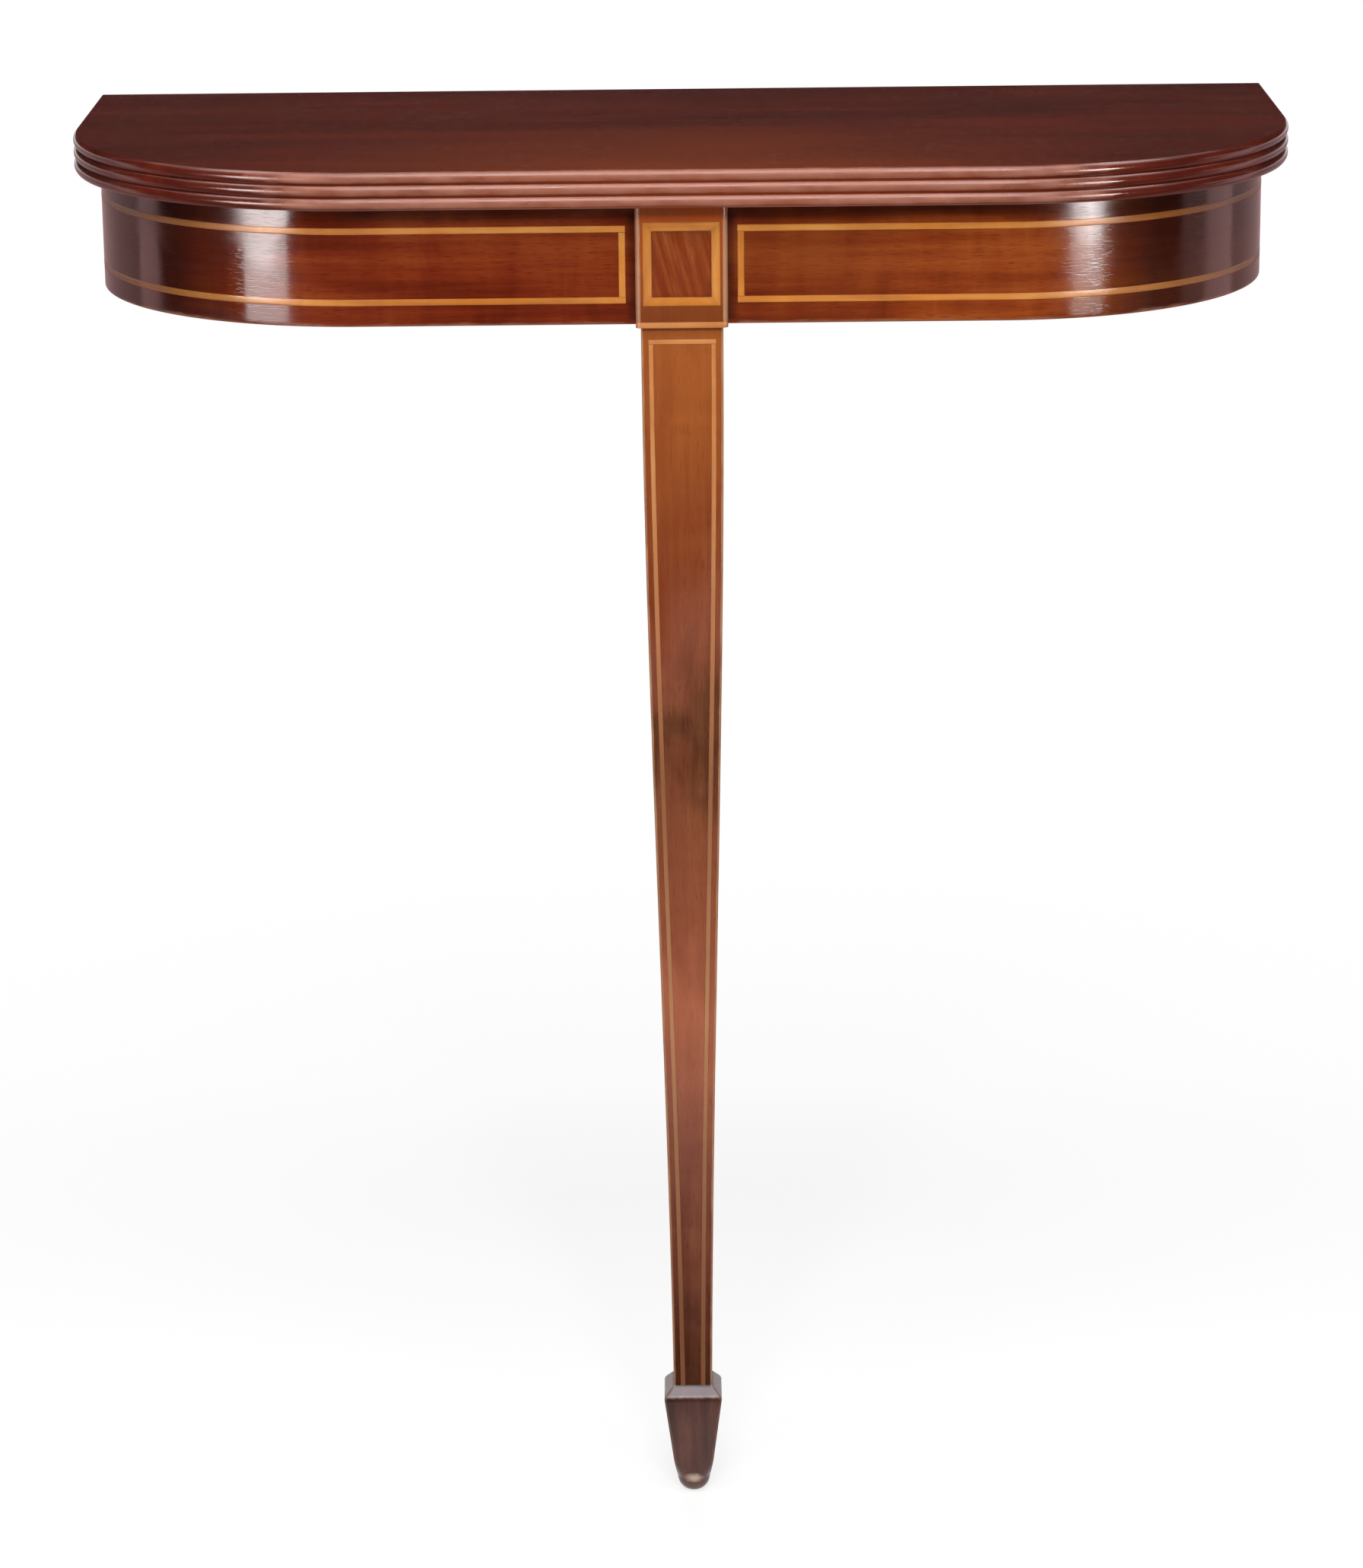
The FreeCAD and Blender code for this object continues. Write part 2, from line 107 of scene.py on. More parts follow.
def node_group(name, takes, gives):
    """Empty shader group with named sockets, and its two end nodes."""
    group = bpy.data.node_groups.new(name, "ShaderNodeTree")
    for way, sockets in (("INPUT", takes), ("OUTPUT", gives)):
        for label, kind in sockets.items():
            group.interface.new_socket(name=label, in_out=way, socket_type="NodeSocket" + kind)
    return group, group.nodes.new("NodeGroupInput").outputs, group.nodes.new("NodeGroupOutput").inputs


# Grain of any wood: broad figure, long fibres, cross mottle and short open pores, with the grain along X.
wood_figure, taken, given = node_group(
    "wood figure", {"Place": "Vector", "Dark": "Color", "Middle": "Color", "Light": "Color", "Figure": "Float",
                    "Fibre": "Float", "Mottle": "Float", "Pores": "Float"}, {"Colour": "Color", "Height": "Float"})
broad, fibre, mottle, pores = [
    between(wood_figure, streaks(wood_figure, taken["Place"], stretch, detail, twist), low, high)
    for stretch, detail, twist, low, high in (
        ((3.0, 24.0, 24.0), 2.0, 1.5, 0.32, 0.68), ((10.0, 260.0, 260.0), 4.0, 0.3, 0.3, 0.7),
        ((42.0, 11.0, 11.0), 3.0, 0.8, 0.3, 0.7), ((120.0, 1700.0, 1700.0), 1.0, 0.0, 0.58, 0.7))]
tone = weighed(wood_figure, (broad, taken["Figure"]), (fibre, taken["Fibre"]), (mottle, taken["Mottle"]))
colour = mixed(wood_figure, between(wood_figure, tone, 0.05, 0.5), taken["Dark"], taken["Middle"])
colour = mixed(wood_figure, between(wood_figure, tone, 0.5, 0.95), colour, taken["Light"])
open_pores = sums(wood_figure, "MULTIPLY", pores, taken["Pores"])
wood_figure.links.new(mixed(wood_figure, open_pores, colour, taken["Dark"]), given["Colour"])
wood_figure.links.new(weighed(wood_figure, (fibre, 0.4), (pores, -0.6)), given["Height"])


def new_finish(name, **plain):
    """Material with one Principled shader; values that are the same all over go straight on its sockets."""
    material = bpy.data.materials.new(name)
    material.use_nodes = True
    shader = material.node_tree.nodes["Principled BSDF"]
    for label, value in plain.items():
        shader.inputs[label.replace("_", " ")].default_value = value
    return material, material.node_tree, shader


def surface(tree, shader, colour, rough, height, relief):
    """Leads a colour, a roughness and the tilt of a height, in units of the relief, into a shader."""
    raised = put(tree, "Bump", {"Height": height, "Strength": 1.0, "Distance": relief})
    for label, value in (("Base Color", colour), ("Roughness", rough), ("Normal", raised.outputs["Normal"])):
        tree.links.new(value, shader.inputs[label])


def object_place(tree):
    """Place on the object in metres."""
    return put(tree, "TexCoord").outputs["Object"]


def object_axes(tree):
    """The same place along X, Y and Z."""
    return put(tree, "SeparateXYZ", {0: object_place(tree)}).outputs


def place_sums(tree, operation, first, second):
    """One step of arithmetic on places, which gives a place or a value."""
    return put(tree, "VectorMath", {0: first, 1: second}, operation=operation).outputs


def shades(dark, middle, light, Mottle=0.18, **shares):
    """Screen colours of a wood from dark to light, and the share of each pattern in its grain."""
    return {"Dark": screen(*dark), "Middle": screen(*middle), "Light": screen(*light), "Mottle": Mottle, **shares}


def grouped(tree, group, feeds):
    """What a shader group gives for its feeds."""
    return put(tree, "Group", feeds, node_tree=group).outputs


def brick_finish(name, turn):
    """Sawn pine with the grain turned about Z; each course has its own piece of the grain and a glue line."""
    material, tree, shader = new_finish(name, Specular_IOR_Level=0.2)
    course = sums(tree, "DIVIDE", sums(tree, "SUBTRACT", object_axes(tree)["Z"], core_low.z), course_height)
    shift = sums(tree, "MULTIPLY", sums(tree, "FLOOR", course), 1.37)
    turned = put(tree, "Mapping", {"Vector": object_place(tree), "Rotation": (0.0, 0.0, -turn)})
    place = place_sums(tree, "ADD", turned.outputs[0], shift)[0]
    figure = shades((128, 84, 48), (172, 128, 82), (198, 158, 110), Figure=0.3, Fibre=0.55, Pores=0.15)
    grain = grouped(tree, wood_figure, {"Place": place, **figure})
    joint = sums(tree, "ABSOLUTE", sums(tree, "SUBTRACT", sums(tree, "FRACT", course), 0.5))
    glue = between(tree, joint, 0.475, 0.495)
    dirt = between(tree, streaks(tree, place, (30.0, 30.0, 30.0), 5.0), 0.4, 0.75, 0.0, 0.6)
    aged = mixed(tree, dirt, grain["Colour"], screen(104, 74, 48))
    surface(tree, shader, mixed(tree, glue, aged, screen(74, 48, 28)), between(tree, dirt, 0.0, 0.6, 0.68, 0.86),
            weighed(tree, (grain["Height"], 1.0), (glue, -1.0)), 0.0003)
    return material


brick_turns = {"centre": 0.0, "left": -0.8, "right": 0.8, "left_end": 1.45, "right_end": 1.69}
for brick_place, grain_turn in brick_turns.items():
    pine = brick_finish("pine " + brick_place.replace("_", " "), grain_turn)
    for course_name in ("lower", "middle", "upper"):
        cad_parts["brick_" + course_name + "_" + brick_place].data.materials[0] = pine


# Back rail: a sawn softwood rail along the wall that closes the frieze, with two countersunk holes for wall screws.
# It is left bare, and a century of dust has darkened it; the saw left upright marks across its faces.
rail, rail_tree, rail_shader = new_finish("rail softwood", Specular_IOR_Level=0.2)
rail_place = object_place(rail_tree)
rail_figure = shades((98, 66, 40), (148, 106, 68), (176, 134, 92), Figure=0.4, Fibre=0.45, Pores=0.2)
rail_grain = grouped(rail_tree, wood_figure, {"Place": rail_place, **rail_figure})
saw_marks = streaks(rail_tree, rail_place, (420.0, 2.0, 9.0), 2.0)
dust = streaks(rail_tree, rail_place, (9.0, 20.0, 20.0), 5.0)
surface(rail_tree, rail_shader, tinted(rail_tree, rail_grain["Colour"], (92, 70, 50), 0.7, dust, 0.42, 0.72),
        between(rail_tree, saw_marks, 0.3, 0.7, 0.7, 0.88),
        weighed(rail_tree, (rail_grain["Height"], 0.7), (saw_marks, 1.2)), 0.0003)
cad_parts["back_rail"].data.materials[0] = rail


# Leg: one piece of mahogany, a square head forked over the frieze and a shaft that tapers to the foot.
# The head stands proud with rounded front corners; grooves and a recess hold the inlay, a tenon holds the foot.
cuff_low, cuff_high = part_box("cuff_string")
head_half, head_face, head_bottom = cuff_high.x, cuff_low.y, cuff_low.z
leg_y = head_face + head_half
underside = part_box("top_board")[0].z
frieze_low = core_low.z
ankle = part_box("spade_foot")[1].z
head_corner = 0.003
flat_half = head_half - head_corner
fork_front, fork_back = -0.0139, -0.0039
tenon_radius, tenon_end = 0.005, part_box("leg")[0].z
arris = 0.0009

# Half width of the shaft: almost plumb from the head to the knee, then in to the ankle on a slightly hollow line.
knee, hollow = head_bottom - 0.105, 0.0003
shaft_top_half, knee_half, ankle_half = head_half - 0.0026, head_half - 0.0034, 0.0107
shaft_curve = np.polyfit([head_bottom, knee, (knee + ankle) / 2, ankle],
                         [shaft_top_half, knee_half, (knee_half + ankle_half) / 2 - hollow, ankle_half], 3)

# Inlay on the shaft and the head, from their edges. A pair of points a hair apart makes the wall of a groove.
string_inset, string_width, string_depth = 0.0038, 0.0026, 0.001
string_low, string_top = [corner.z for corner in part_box("leg_string_top")]
tablet_low, tablet_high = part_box("tablet_string_left")[0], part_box("tablet_string_right")[1]
tablet_half, tablet_depth = tablet_high.x, tablet_high.y - tablet_low.y
cuff_depth = cuff_high.y - cuff_low.y
hair = 0.00001
pair = np.array([-hair, hair])


def sheet(xyz, rub_and_light=0.0, grain=None):
    """Grid of points with a rub value each, from -1 in corners to 1 on arrises, which on some pieces also carries
    painted shade and painted highlight, and a place along its own grain.
    """
    xyz = np.stack(np.broadcast_arrays(*xyz), axis=-1).astype(float)
    grain = np.zeros(xyz.shape[:2] + (2,)) if grain is None else np.stack(np.broadcast_arrays(*grain), axis=-1)
    return xyz, grain, np.broadcast_to(np.asarray(rub_and_light, float), xyz.shape[:2])


def slab(front, back):
    """Six sheets of a thin piece: its front and back grids, and the strips that join their four borders."""
    def strip(cut):
        sides = [(face[cut][None], uv[cut][None], rub_and_light[cut][None]) for face, uv, rub_and_light in (front, back)]
        return tuple(np.concatenate(pair) for pair in zip(*sides))
    borders = [strip(cut) for cut in ((0,), (-1,), (slice(None), 0), (slice(None), -1))]
    return [front, back] + borders


def placed(name, data):
    """New object in the scene."""
    thing = bpy.data.objects.new(name, data)
    bpy.context.scene.collection.objects.link(thing)
    return thing


def welded(name, sheets, soft):
    """One closed mesh from sheets. Each cell is a quad; the sheets meet edge to edge and are welded there,
    faces are turned outwards, and edges sharper than soft degrees stay crisp."""
    quads, first = [], 0
    for xyz, _, _ in sheets:
        rows, columns = xyz.shape[:2]
        ids = np.arange(first, first + rows * columns).reshape(rows, columns)
        quads.append(np.stack([ids[:-1, :-1], ids[1:, :-1], ids[1:, 1:], ids[:-1, 1:]], axis=-1).reshape(-1, 4))
        first += rows * columns
    quads = np.concatenate(quads)
    points, grain, rub_and_light = [np.concatenate([grid.reshape(-1, width) for grid in grids])
                          for grids, width in zip(zip(*sheets), (3, 2, 1))]
    mesh = bpy.data.meshes.new(name)
    mesh.from_pydata(points.tolist(), [], quads.tolist())
    mesh.uv_layers.new(name="grain").data.foreach_set("uv", grain[quads].astype(np.float32).ravel())
    mesh.attributes.new("rub_and_light", "FLOAT", "POINT").data.foreach_set("value", rub_and_light.astype(np.float32).ravel())
    shell = bmesh.new()
    shell.from_mesh(mesh)
    bmesh.ops.remove_doubles(shell, verts=shell.verts, dist=2e-6)
    bmesh.ops.dissolve_degenerate(shell, edges=shell.edges, dist=1e-7)
    bmesh.ops.recalc_face_normals(shell, faces=shell.faces)
    shell.to_mesh(mesh)
    shell.free()
    mesh.polygons.foreach_set("use_smooth", np.ones(len(mesh.polygons), bool))
    mesh.set_sharp_from_angle(angle=np.radians(soft))
    return placed(name, mesh)


def settle(name, sheets, finish, node, soft=35.0):
    """Welds a piece, gives it its finish, and puts it on the table's body in place of its solid."""
    piece = welded(name, sheets, soft)
    piece.data.materials.append(finish)
    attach(piece, "root")
    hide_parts(node)
    return piece


def square_ring(from_edges, turns=6):
    """Columns round a square of half width h with rounded corners: (h - reach) * corner + reach * turn.
    Each side has columns at the given distances from its two edges, and each corner a quarter circle."""
    edges, swing = np.array(from_edges), np.linspace(0.0, np.pi / 2, turns)
    flat, quarter = len(edges), np.array([[0, 1], [-1, 0]])
    corner = np.r_[np.tile([-1, -1], (flat, 1)), np.tile([1, -1], (flat + turns, 1))]
    turn = np.r_[np.tile([0, -1], (2 * flat, 1)), np.c_[np.sin(swing), -np.cos(swing)]]
    corner, turn = [np.concatenate([part @ np.linalg.matrix_power(quarter, count) for count in range(4)])
                    for part in (corner, turn)]
    reach = np.tile(np.r_[edges, edges[::-1], np.full(turns, np.nan)], 4)
    rub_and_light = np.tile(np.r_[np.zeros(2 * flat), np.ones(turns)], 4)
    closing = np.r_[np.arange(len(rub_and_light)), 0]
    return corner[closing], turn[closing], reach[closing], rub_and_light[closing]


def ring_points(ring, half, radius):
    """Points of the ring for a column of half widths and corner radii, as x and y grids."""
    corner, turn, reach, _ = ring
    reach = np.where(np.isnan(reach), radius[:, None], reach)
    return [(half[:, None] - reach) * corner[:, axis] + reach * turn[:, axis] for axis in (0, 1)]


def drawn_in(ring_x, ring_y, radius):
    """Points of a ring drawn in onto a circle, as x and y grids of one row."""
    reach = np.hypot(ring_x, ring_y)
    return [radius * (axis / reach)[None] for axis in (ring_x, ring_y)]


def head_front(x):
    """Place of the head's face before the leg's axis: straight between two quarter circles."""
    beyond = np.clip(np.abs(x) - flat_half, 0.0, head_corner)
    return -flat_half - np.sqrt(head_corner ** 2 - beyond ** 2)


# Shaft: the ring carried up its height, with grooves for the strings let into the front and the tenon below.
by_edge, by_middle, past_arris = 0.0016, 0.0085, 0.002
groove = np.r_[string_inset + pair, string_inset + string_width + pair]
shaft_ring = square_ring((by_edge, *groove, by_middle))
shaft_z = np.r_[np.linspace(ankle, string_low - 0.002, 90), string_low + pair, string_top + pair, head_bottom]
shaft_half = np.polyval(shaft_curve, shaft_z)
shaft_x, shaft_y = ring_points(shaft_ring, shaft_half, np.full(len(shaft_z), arris))
edge_distance = shaft_half[:, None] - np.abs(shaft_x)
on_front = np.isclose(shaft_y, -shaft_half[:, None]) & (edge_distance > past_arris)
in_string = (edge_distance > string_inset) & (shaft_z[:, None] < string_top)
in_upright = edge_distance < string_inset + string_width
in_cross = shaft_z[:, None] > string_low
shaft_y = shaft_y + np.where(on_front & in_string & (in_upright | in_cross), string_depth, 0.0)
tenon = drawn_in(shaft_x[0], shaft_y[0], tenon_radius)
shaft_x, shaft_y = [np.concatenate([peg * 0, peg, peg, grid, grid[-1:] * 0])
                    for peg, grid in zip(tenon, (shaft_x, shaft_y))]
shaft_z = np.r_[tenon_end, tenon_end, ankle, shaft_z, head_bottom]
leg_sheets = [sheet((shaft_x, leg_y + shaft_y, shaft_z[:, None]), rub_and_light=shaft_ring[3])]

# Head: the front has rounded corners and recesses for the tablet and the cuff; the other faces are plain.
bend = np.linspace(0.0, np.pi / 2, 9)
front_x = np.r_[flat_half + head_corner * np.cos(bend), tablet_half - pair, 0.008]
front_x = np.r_[front_x, -front_x[::-1]]
front_y = head_front(front_x)
head_z = np.r_[head_bottom, frieze_low, cuff_high.z + pair, tablet_low.z + pair, tablet_high.z + pair,
               underside][:, None]
in_tablet = (np.abs(front_x) < tablet_half) & (head_z > tablet_low.z) & (head_z < tablet_high.z)
face_y = np.where(in_tablet, front_y + tablet_depth, front_y)
face_y = np.where(head_z < cuff_high.z, np.maximum(face_y, -head_half + cuff_depth), face_y)
# The rounded front corners are rubbed pale: wear, and partly a painted highlight.
leg_sheets.append(sheet((front_x, leg_y + face_y, head_z), rub_and_light=np.abs(front_x) > flat_half))
for first_y, last_y, rows in ((-flat_half, fork_front, head_z), (fork_front, fork_back, head_z[:2]),
                              (fork_back, head_half, head_z)):
    leg_sheets += [sheet((side_x, leg_y + np.array([[first_y, last_y]]), rows)) for side_x in (-head_half, head_half)]
bottom_y = np.stack([face_y[0], *(np.full_like(front_x, y) for y in (fork_front, fork_back, head_half))])
for plain_y, rows in ((head_half, head_z), (fork_front, head_z[1:]), (fork_back, head_z[1:]),
                      (bottom_y, head_bottom), (bottom_y[1:3], frieze_low),
                      (np.stack([front_y, bottom_y[1]]), underside), (bottom_y[2:], underside)):
    leg_sheets.append(sheet((front_x, leg_y + plain_y, rows)))

# Age that all the polished wood shares: arrises rubbed pale, dark wax left in corners, both broken up by noise.
# The same pale and dark colours also paint highlights on some arrises and shade in some corners, where the rub values
# carry them.
wear_and_light, taken, given = node_group(
    "rub and grime", {"Colour": "Color", "Place": "Vector", "Rub_and_light": "Float", "Worn_and_lit": "Color", "Grime_and_shade": "Color"},
    {"Colour": "Color", "Dull": "Float"})
patches = streaks(wear_and_light, taken["Place"], (55.0, 140.0, 140.0), 5.0)
worn_and_lit = between(wear_and_light, weighed(wear_and_light, (taken["Rub_and_light"], 0.75), (patches, 0.9)), 0.75, 1.35)
clouds = streaks(wear_and_light, taken["Place"], (40.0, 60.0, 60.0), 4.0)
waxed_and_shaded = between(wear_and_light, weighed(wear_and_light, (taken["Rub_and_light"], -0.8), (clouds, 0.5)), 0.3, 1.0)
aged = mixed(wear_and_light, worn_and_lit, taken["Colour"], taken["Worn_and_lit"])
wear_and_light.links.new(mixed(wear_and_light, waxed_and_shaded, aged, taken["Grime_and_shade"]), given["Colour"])
wear_and_light.links.new(weighed(wear_and_light, (waxed_and_shaded, 0.08), (worn_and_lit, 0.3)), given["Dull"])

# Old polish: smears that change the gloss, and the slow ripple of a hand-rubbed surface.
old_polish, taken, given = node_group(
    "old polish", {"Place": "Vector", "Gloss": "Float", "Spread": "Float"}, {"Roughness": "Float", "Ripple": "Float"})
smears = between(old_polish, streaks(old_polish, taken["Place"], (16.0, 34.0, 34.0), 5.0, 0.5), 0.35, 0.75)
old_polish.links.new(sums(old_polish, "MULTIPLY_ADD", smears, taken["Spread"], taken["Gloss"]), given["Roughness"])
old_polish.links.new(streaks(old_polish, taken["Place"], (18.0, 26.0, 26.0), 1.0), given["Ripple"])


def polished_wood(name, place_of, figure, worn_and_lit, grime_and_shade, gloss, spread=0.2, ripple=0.5, tint=None):
    """Polished wood: the grain, aged by rubbing and grime and given painted shade and highlight where the rub values
    carry them, under old polish. A tint function may recolour it.
    """
    material, tree, shader = new_finish(name, Specular_IOR_Level=0.5)
    place = place_of(tree)
    grain = grouped(tree, wood_figure, {"Place": place, **figure})
    colour = tint(tree, grain["Colour"]) if tint else grain["Colour"]
    rub_and_light = put(tree, "Attribute", attribute_name="rub_and_light").outputs["Fac"]
    age = grouped(tree, wear_and_light, {"Colour": colour, "Place": place, "Rub_and_light": rub_and_light, "Worn_and_lit": screen(*worn_and_lit),
                               "Grime_and_shade": screen(*grime_and_shade)})
    polish = grouped(tree, old_polish, {"Place": place, "Gloss": gloss, "Spread": spread})
    surface(tree, shader, age["Colour"], sums(tree, "ADD", age["Dull"], polish["Roughness"]),
            weighed(tree, (grain["Height"], 0.05), (polish["Ripple"], ripple)), 0.0004)
    return material


def up_the_leg(tree):
    """Place with the leg's height as the grain direction."""
    axes = object_axes(tree)
    return put(tree, "CombineXYZ", {"X": axes["Z"], "Y": axes["X"], "Z": axes["Y"]}).outputs[0]


def ramp(tree, value, *stops):
    """Colour that changes with a value between 0 and 1, through stops of a value and its screen colour."""
    node = put(tree, "ValToRGB", {"Fac": value})
    points = node.color_ramp.elements
    while len(points) < len(stops):
        points.new(0.5)
    for point, (position, colour) in zip(points, stops):
        point.position, point.color = position, screen(*colour)
    return node.outputs["Color"]


def leg_tint(tree, colour):
    """The shaft is orange by the head, rosy below the knee and dark red by the ankle, and a dark cloud of figure
    crosses it halfway. The head is redder above the tablet and darker under it."""
    height = object_axes(tree)["Z"]
    wander = streaks(tree, object_place(tree), (40.0, 40.0, 14.0), 3.0, 0.6)
    level = weighed(tree, (height, 1.0), (wander, 0.12), (1.0, -0.06))
    by_level = ramp(tree, level, (0.09, (48, 16, 14)), (0.145, (104, 52, 46)), (0.21, (138, 82, 72)),
                    (0.285, (194, 112, 86)), (0.34, (150, 78, 56)), (0.405, (134, 71, 48)), (0.438, (54, 28, 24)),
                    (0.46, (64, 34, 28)), (0.49, (144, 74, 58)), (0.53, (138, 56, 20)), (0.65, (176, 92, 38)))
    shaft = mixed(tree, between(tree, level, 0.15, 0.09, 0.72, 0.86), colour, by_level)
    bands = ramp(tree, height, (tablet_low.z - 0.0015, (104, 38, 14)), (tablet_low.z + 0.004, (150, 66, 22)),
                 (tablet_high.z + 0.004, (190, 74, 10)))
    return mixed(tree, between(tree, height, head_bottom - 0.0002, head_bottom + 0.0002, 0.0, 0.6), shaft, bands)


leg_figure = shades((104, 44, 14), (164, 84, 34), (204, 122, 62), Figure=0.55, Fibre=0.35, Mottle=0.25, Pores=0.6)
leg_finish = polished_wood("mahogany leg", up_the_leg, leg_figure, (196, 140, 100), (60, 26, 14),
                           gloss=0.22, spread=0.1, tint=leg_tint)
settle("leg_shaft_and_head", leg_sheets, leg_finish, "leg")


# Pegs: two turned beech pegs driven from behind through the leg's fork and the tongue of the frieze.
# Their ends are rounded over and stand a hair above the back of the head.
def planed_wood(name, figure, shine, dull, smooth, relief):
    """Wood left without polish: dull in its open pores and smoother between them."""
    material, tree, shader = new_finish(name, Specular_IOR_Level=shine)
    grain = grouped(tree, wood_figure, {"Place": object_place(tree), **figure})
    rough = between(tree, grain["Height"], -0.4, 0.4, dull, smooth)
    surface(tree, shader, grain["Colour"], rough, grain["Height"], relief)
    return material


peg_low, peg_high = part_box("leg_pegs")
peg_radius = peg_high.x
peg_turn = np.linspace(0.0, 2 * np.pi, 33)
peg_reach = np.array([0.0, 1.0, 1.0, 0.92, 0.7, 0.0])[:, None] * peg_radius
peg_along = np.r_[peg_low.y, peg_low.y, peg_high.y + np.array([0.0, 0.0004, 0.0006, 0.0007])][:, None]
peg_sheets = [sheet((peg_reach * np.cos(peg_turn), peg_along, level + peg_reach * np.sin(peg_turn)))
              for level in (peg_low.z + peg_radius, peg_high.z - peg_radius)]
beech_figure = shades((120, 80, 50), (176, 128, 86), (200, 156, 112), Figure=0.3, Fibre=0.4, Pores=0.7)
beech = planed_wood("beech peg", beech_figure, shine=0.25, dull=0.75, smooth=0.55, relief=0.0002)
settle("fork_pegs", peg_sheets, beech, "leg_pegs")


# Strings of the leg: thin boxwood lines let into grooves down both edges of the shaft and across its top,
# and a wider cuff let into the lower front edge of the head. Hide glue darkens their joints.
string_gap, string_proud, string_sunk = 0.00006, 0.00005, 0.00004
across = np.array([0.0, 0.1, 0.25, 0.5, 0.75, 0.9, 1.0])
joint_rub = np.array([-0.55, -0.15, 0.0, 0.0, 0.0, -0.15, -0.55])
sides = ((-1, "left"), (1, "right"))

# Depth of a string's face below the wood round it: proud in the middle, sunk at both joints, by a fourth power.
crown = string_sunk - (string_proud + string_sunk) * (1.0 - (2.0 * across - 1.0) ** 4)


def fitted(low, width, share=across):
    """Places for shares across a piece that leaves a hairline joint on both sides of its groove."""
    return low + string_gap + share * (width - 2 * string_gap)


def let_in(name, node, finish, face, back, rub_and_light, grain):
    """String in its groove, from the points of its face and its back, with a rub value and a place on its grain."""
    sheets = slab(sheet(face, rub_and_light, grain), sheet(back, -1.0, grain))
    settle(name, sheets, finish, node)


def own_grain(tree):
    """Place along a piece's own grain, in metres, from its grain map."""
    return put(tree, "UVMap", uv_map="grain").outputs["UV"]


def string_tint(tree, colour):
    """Polish has gone deeper into some lengths of the string than into others, and deepest by the ankle."""
    stain = streaks(tree, own_grain(tree), (26.0, 120.0, 1.0), 4.0)
    stained = tinted(tree, colour, (186, 112, 58), 0.55, stain, 0.5, 0.74)
    height = object_axes(tree)["Z"]
    faded = ramp(tree, height, (0.1, (116, 66, 42)), (0.2, (158, 104, 76)), (0.28, (200, 138, 98)),
                 (0.42, (146, 92, 62)), (0.5, (196, 126, 82)))
    return mixed(tree, between(tree, height, 0.63, 0.52, 0.0, 0.85), stained, faded)


box_figure = shades((196, 118, 58), (232, 153, 86), (244, 178, 112), Figure=0.45, Fibre=0.4, Mottle=0.2, Pores=0.12)
boxwood = polished_wood("boxwood string", own_grain, box_figure, (244, 190, 136), (150, 80, 36),
                        gloss=0.24, tint=string_tint)

upright_z = np.linspace(ankle, string_low - string_gap, 90)[:, None]
upright_half = np.polyval(shaft_curve, upright_z)
upright_y = leg_y - upright_half
for side, side_name in sides:
    upright_x = side * (upright_half - fitted(string_inset, string_width))
    let_in("leg_line_" + side_name, "leg_string_" + side_name, boxwood,
           (upright_x, upright_y + crown, upright_z), (upright_x, upright_y + string_depth, upright_z),
           joint_rub, (upright_z + 0.4 * side, across * string_width))

# The cross string closes the two at the top; the cuff goes as far round the head's corners as it is deep.
cross_z = fitted(string_low, string_top - string_low)[:, None]
cross_half = np.polyval(shaft_curve, cross_z)
cross_x = np.linspace(-1.0, 1.0, 9) * (cross_half - string_inset - string_gap)
cross_y = leg_y - cross_half
cuff_x = np.unique(np.r_[front_x[front_y < -head_half + cuff_depth], 0.012, 0.004, -0.004, -0.012])
cuff_y = leg_y + head_front(cuff_x)
cuff_z = (cuff_low.z + across * (cuff_high.z - cuff_low.z - string_gap))[:, None]
for name, node, x, front, back, z in (
        ("leg_line_top", "leg_string_top", cross_x, cross_y, cross_y + string_depth, cross_z),
        ("head_cuff", "cuff_string", cuff_x, cuff_y, leg_y - head_half + cuff_depth, cuff_z)):
    let_in(name, node, boxwood, (x, front + crown[:, None], z), (x, back, z), joint_rub[:, None], (x, z))


# Tablet: a small panel of striped mahogany in a mitred frame of broad boxwood strings, let into the head's face.
# The panel's stripe runs steeply across it, and the frame's four strings meet on the corners' diagonals.
def line_tint(tree, colour):
    """The broad lines have yellowed, and towards the table's ends painted shade darkens them, by the distance from its
    middle line.
    """
    off_middle = sums(tree, "ABSOLUTE", object_axes(tree)["X"])
    return tinted(tree, string_tint(tree, colour), (84, 42, 26), 0.74, off_middle, 0.2, 0.29)


def frame_corners(low, high, inset):
    """Corners of an upright rectangle, as x and z from the lower left one round, set in by an inset."""
    left, right, bottom, top = low.x + inset, high.x - inset, low.z + inset, high.z - inset
    return np.array([[left, bottom], [right, bottom], [right, top], [left, top]])


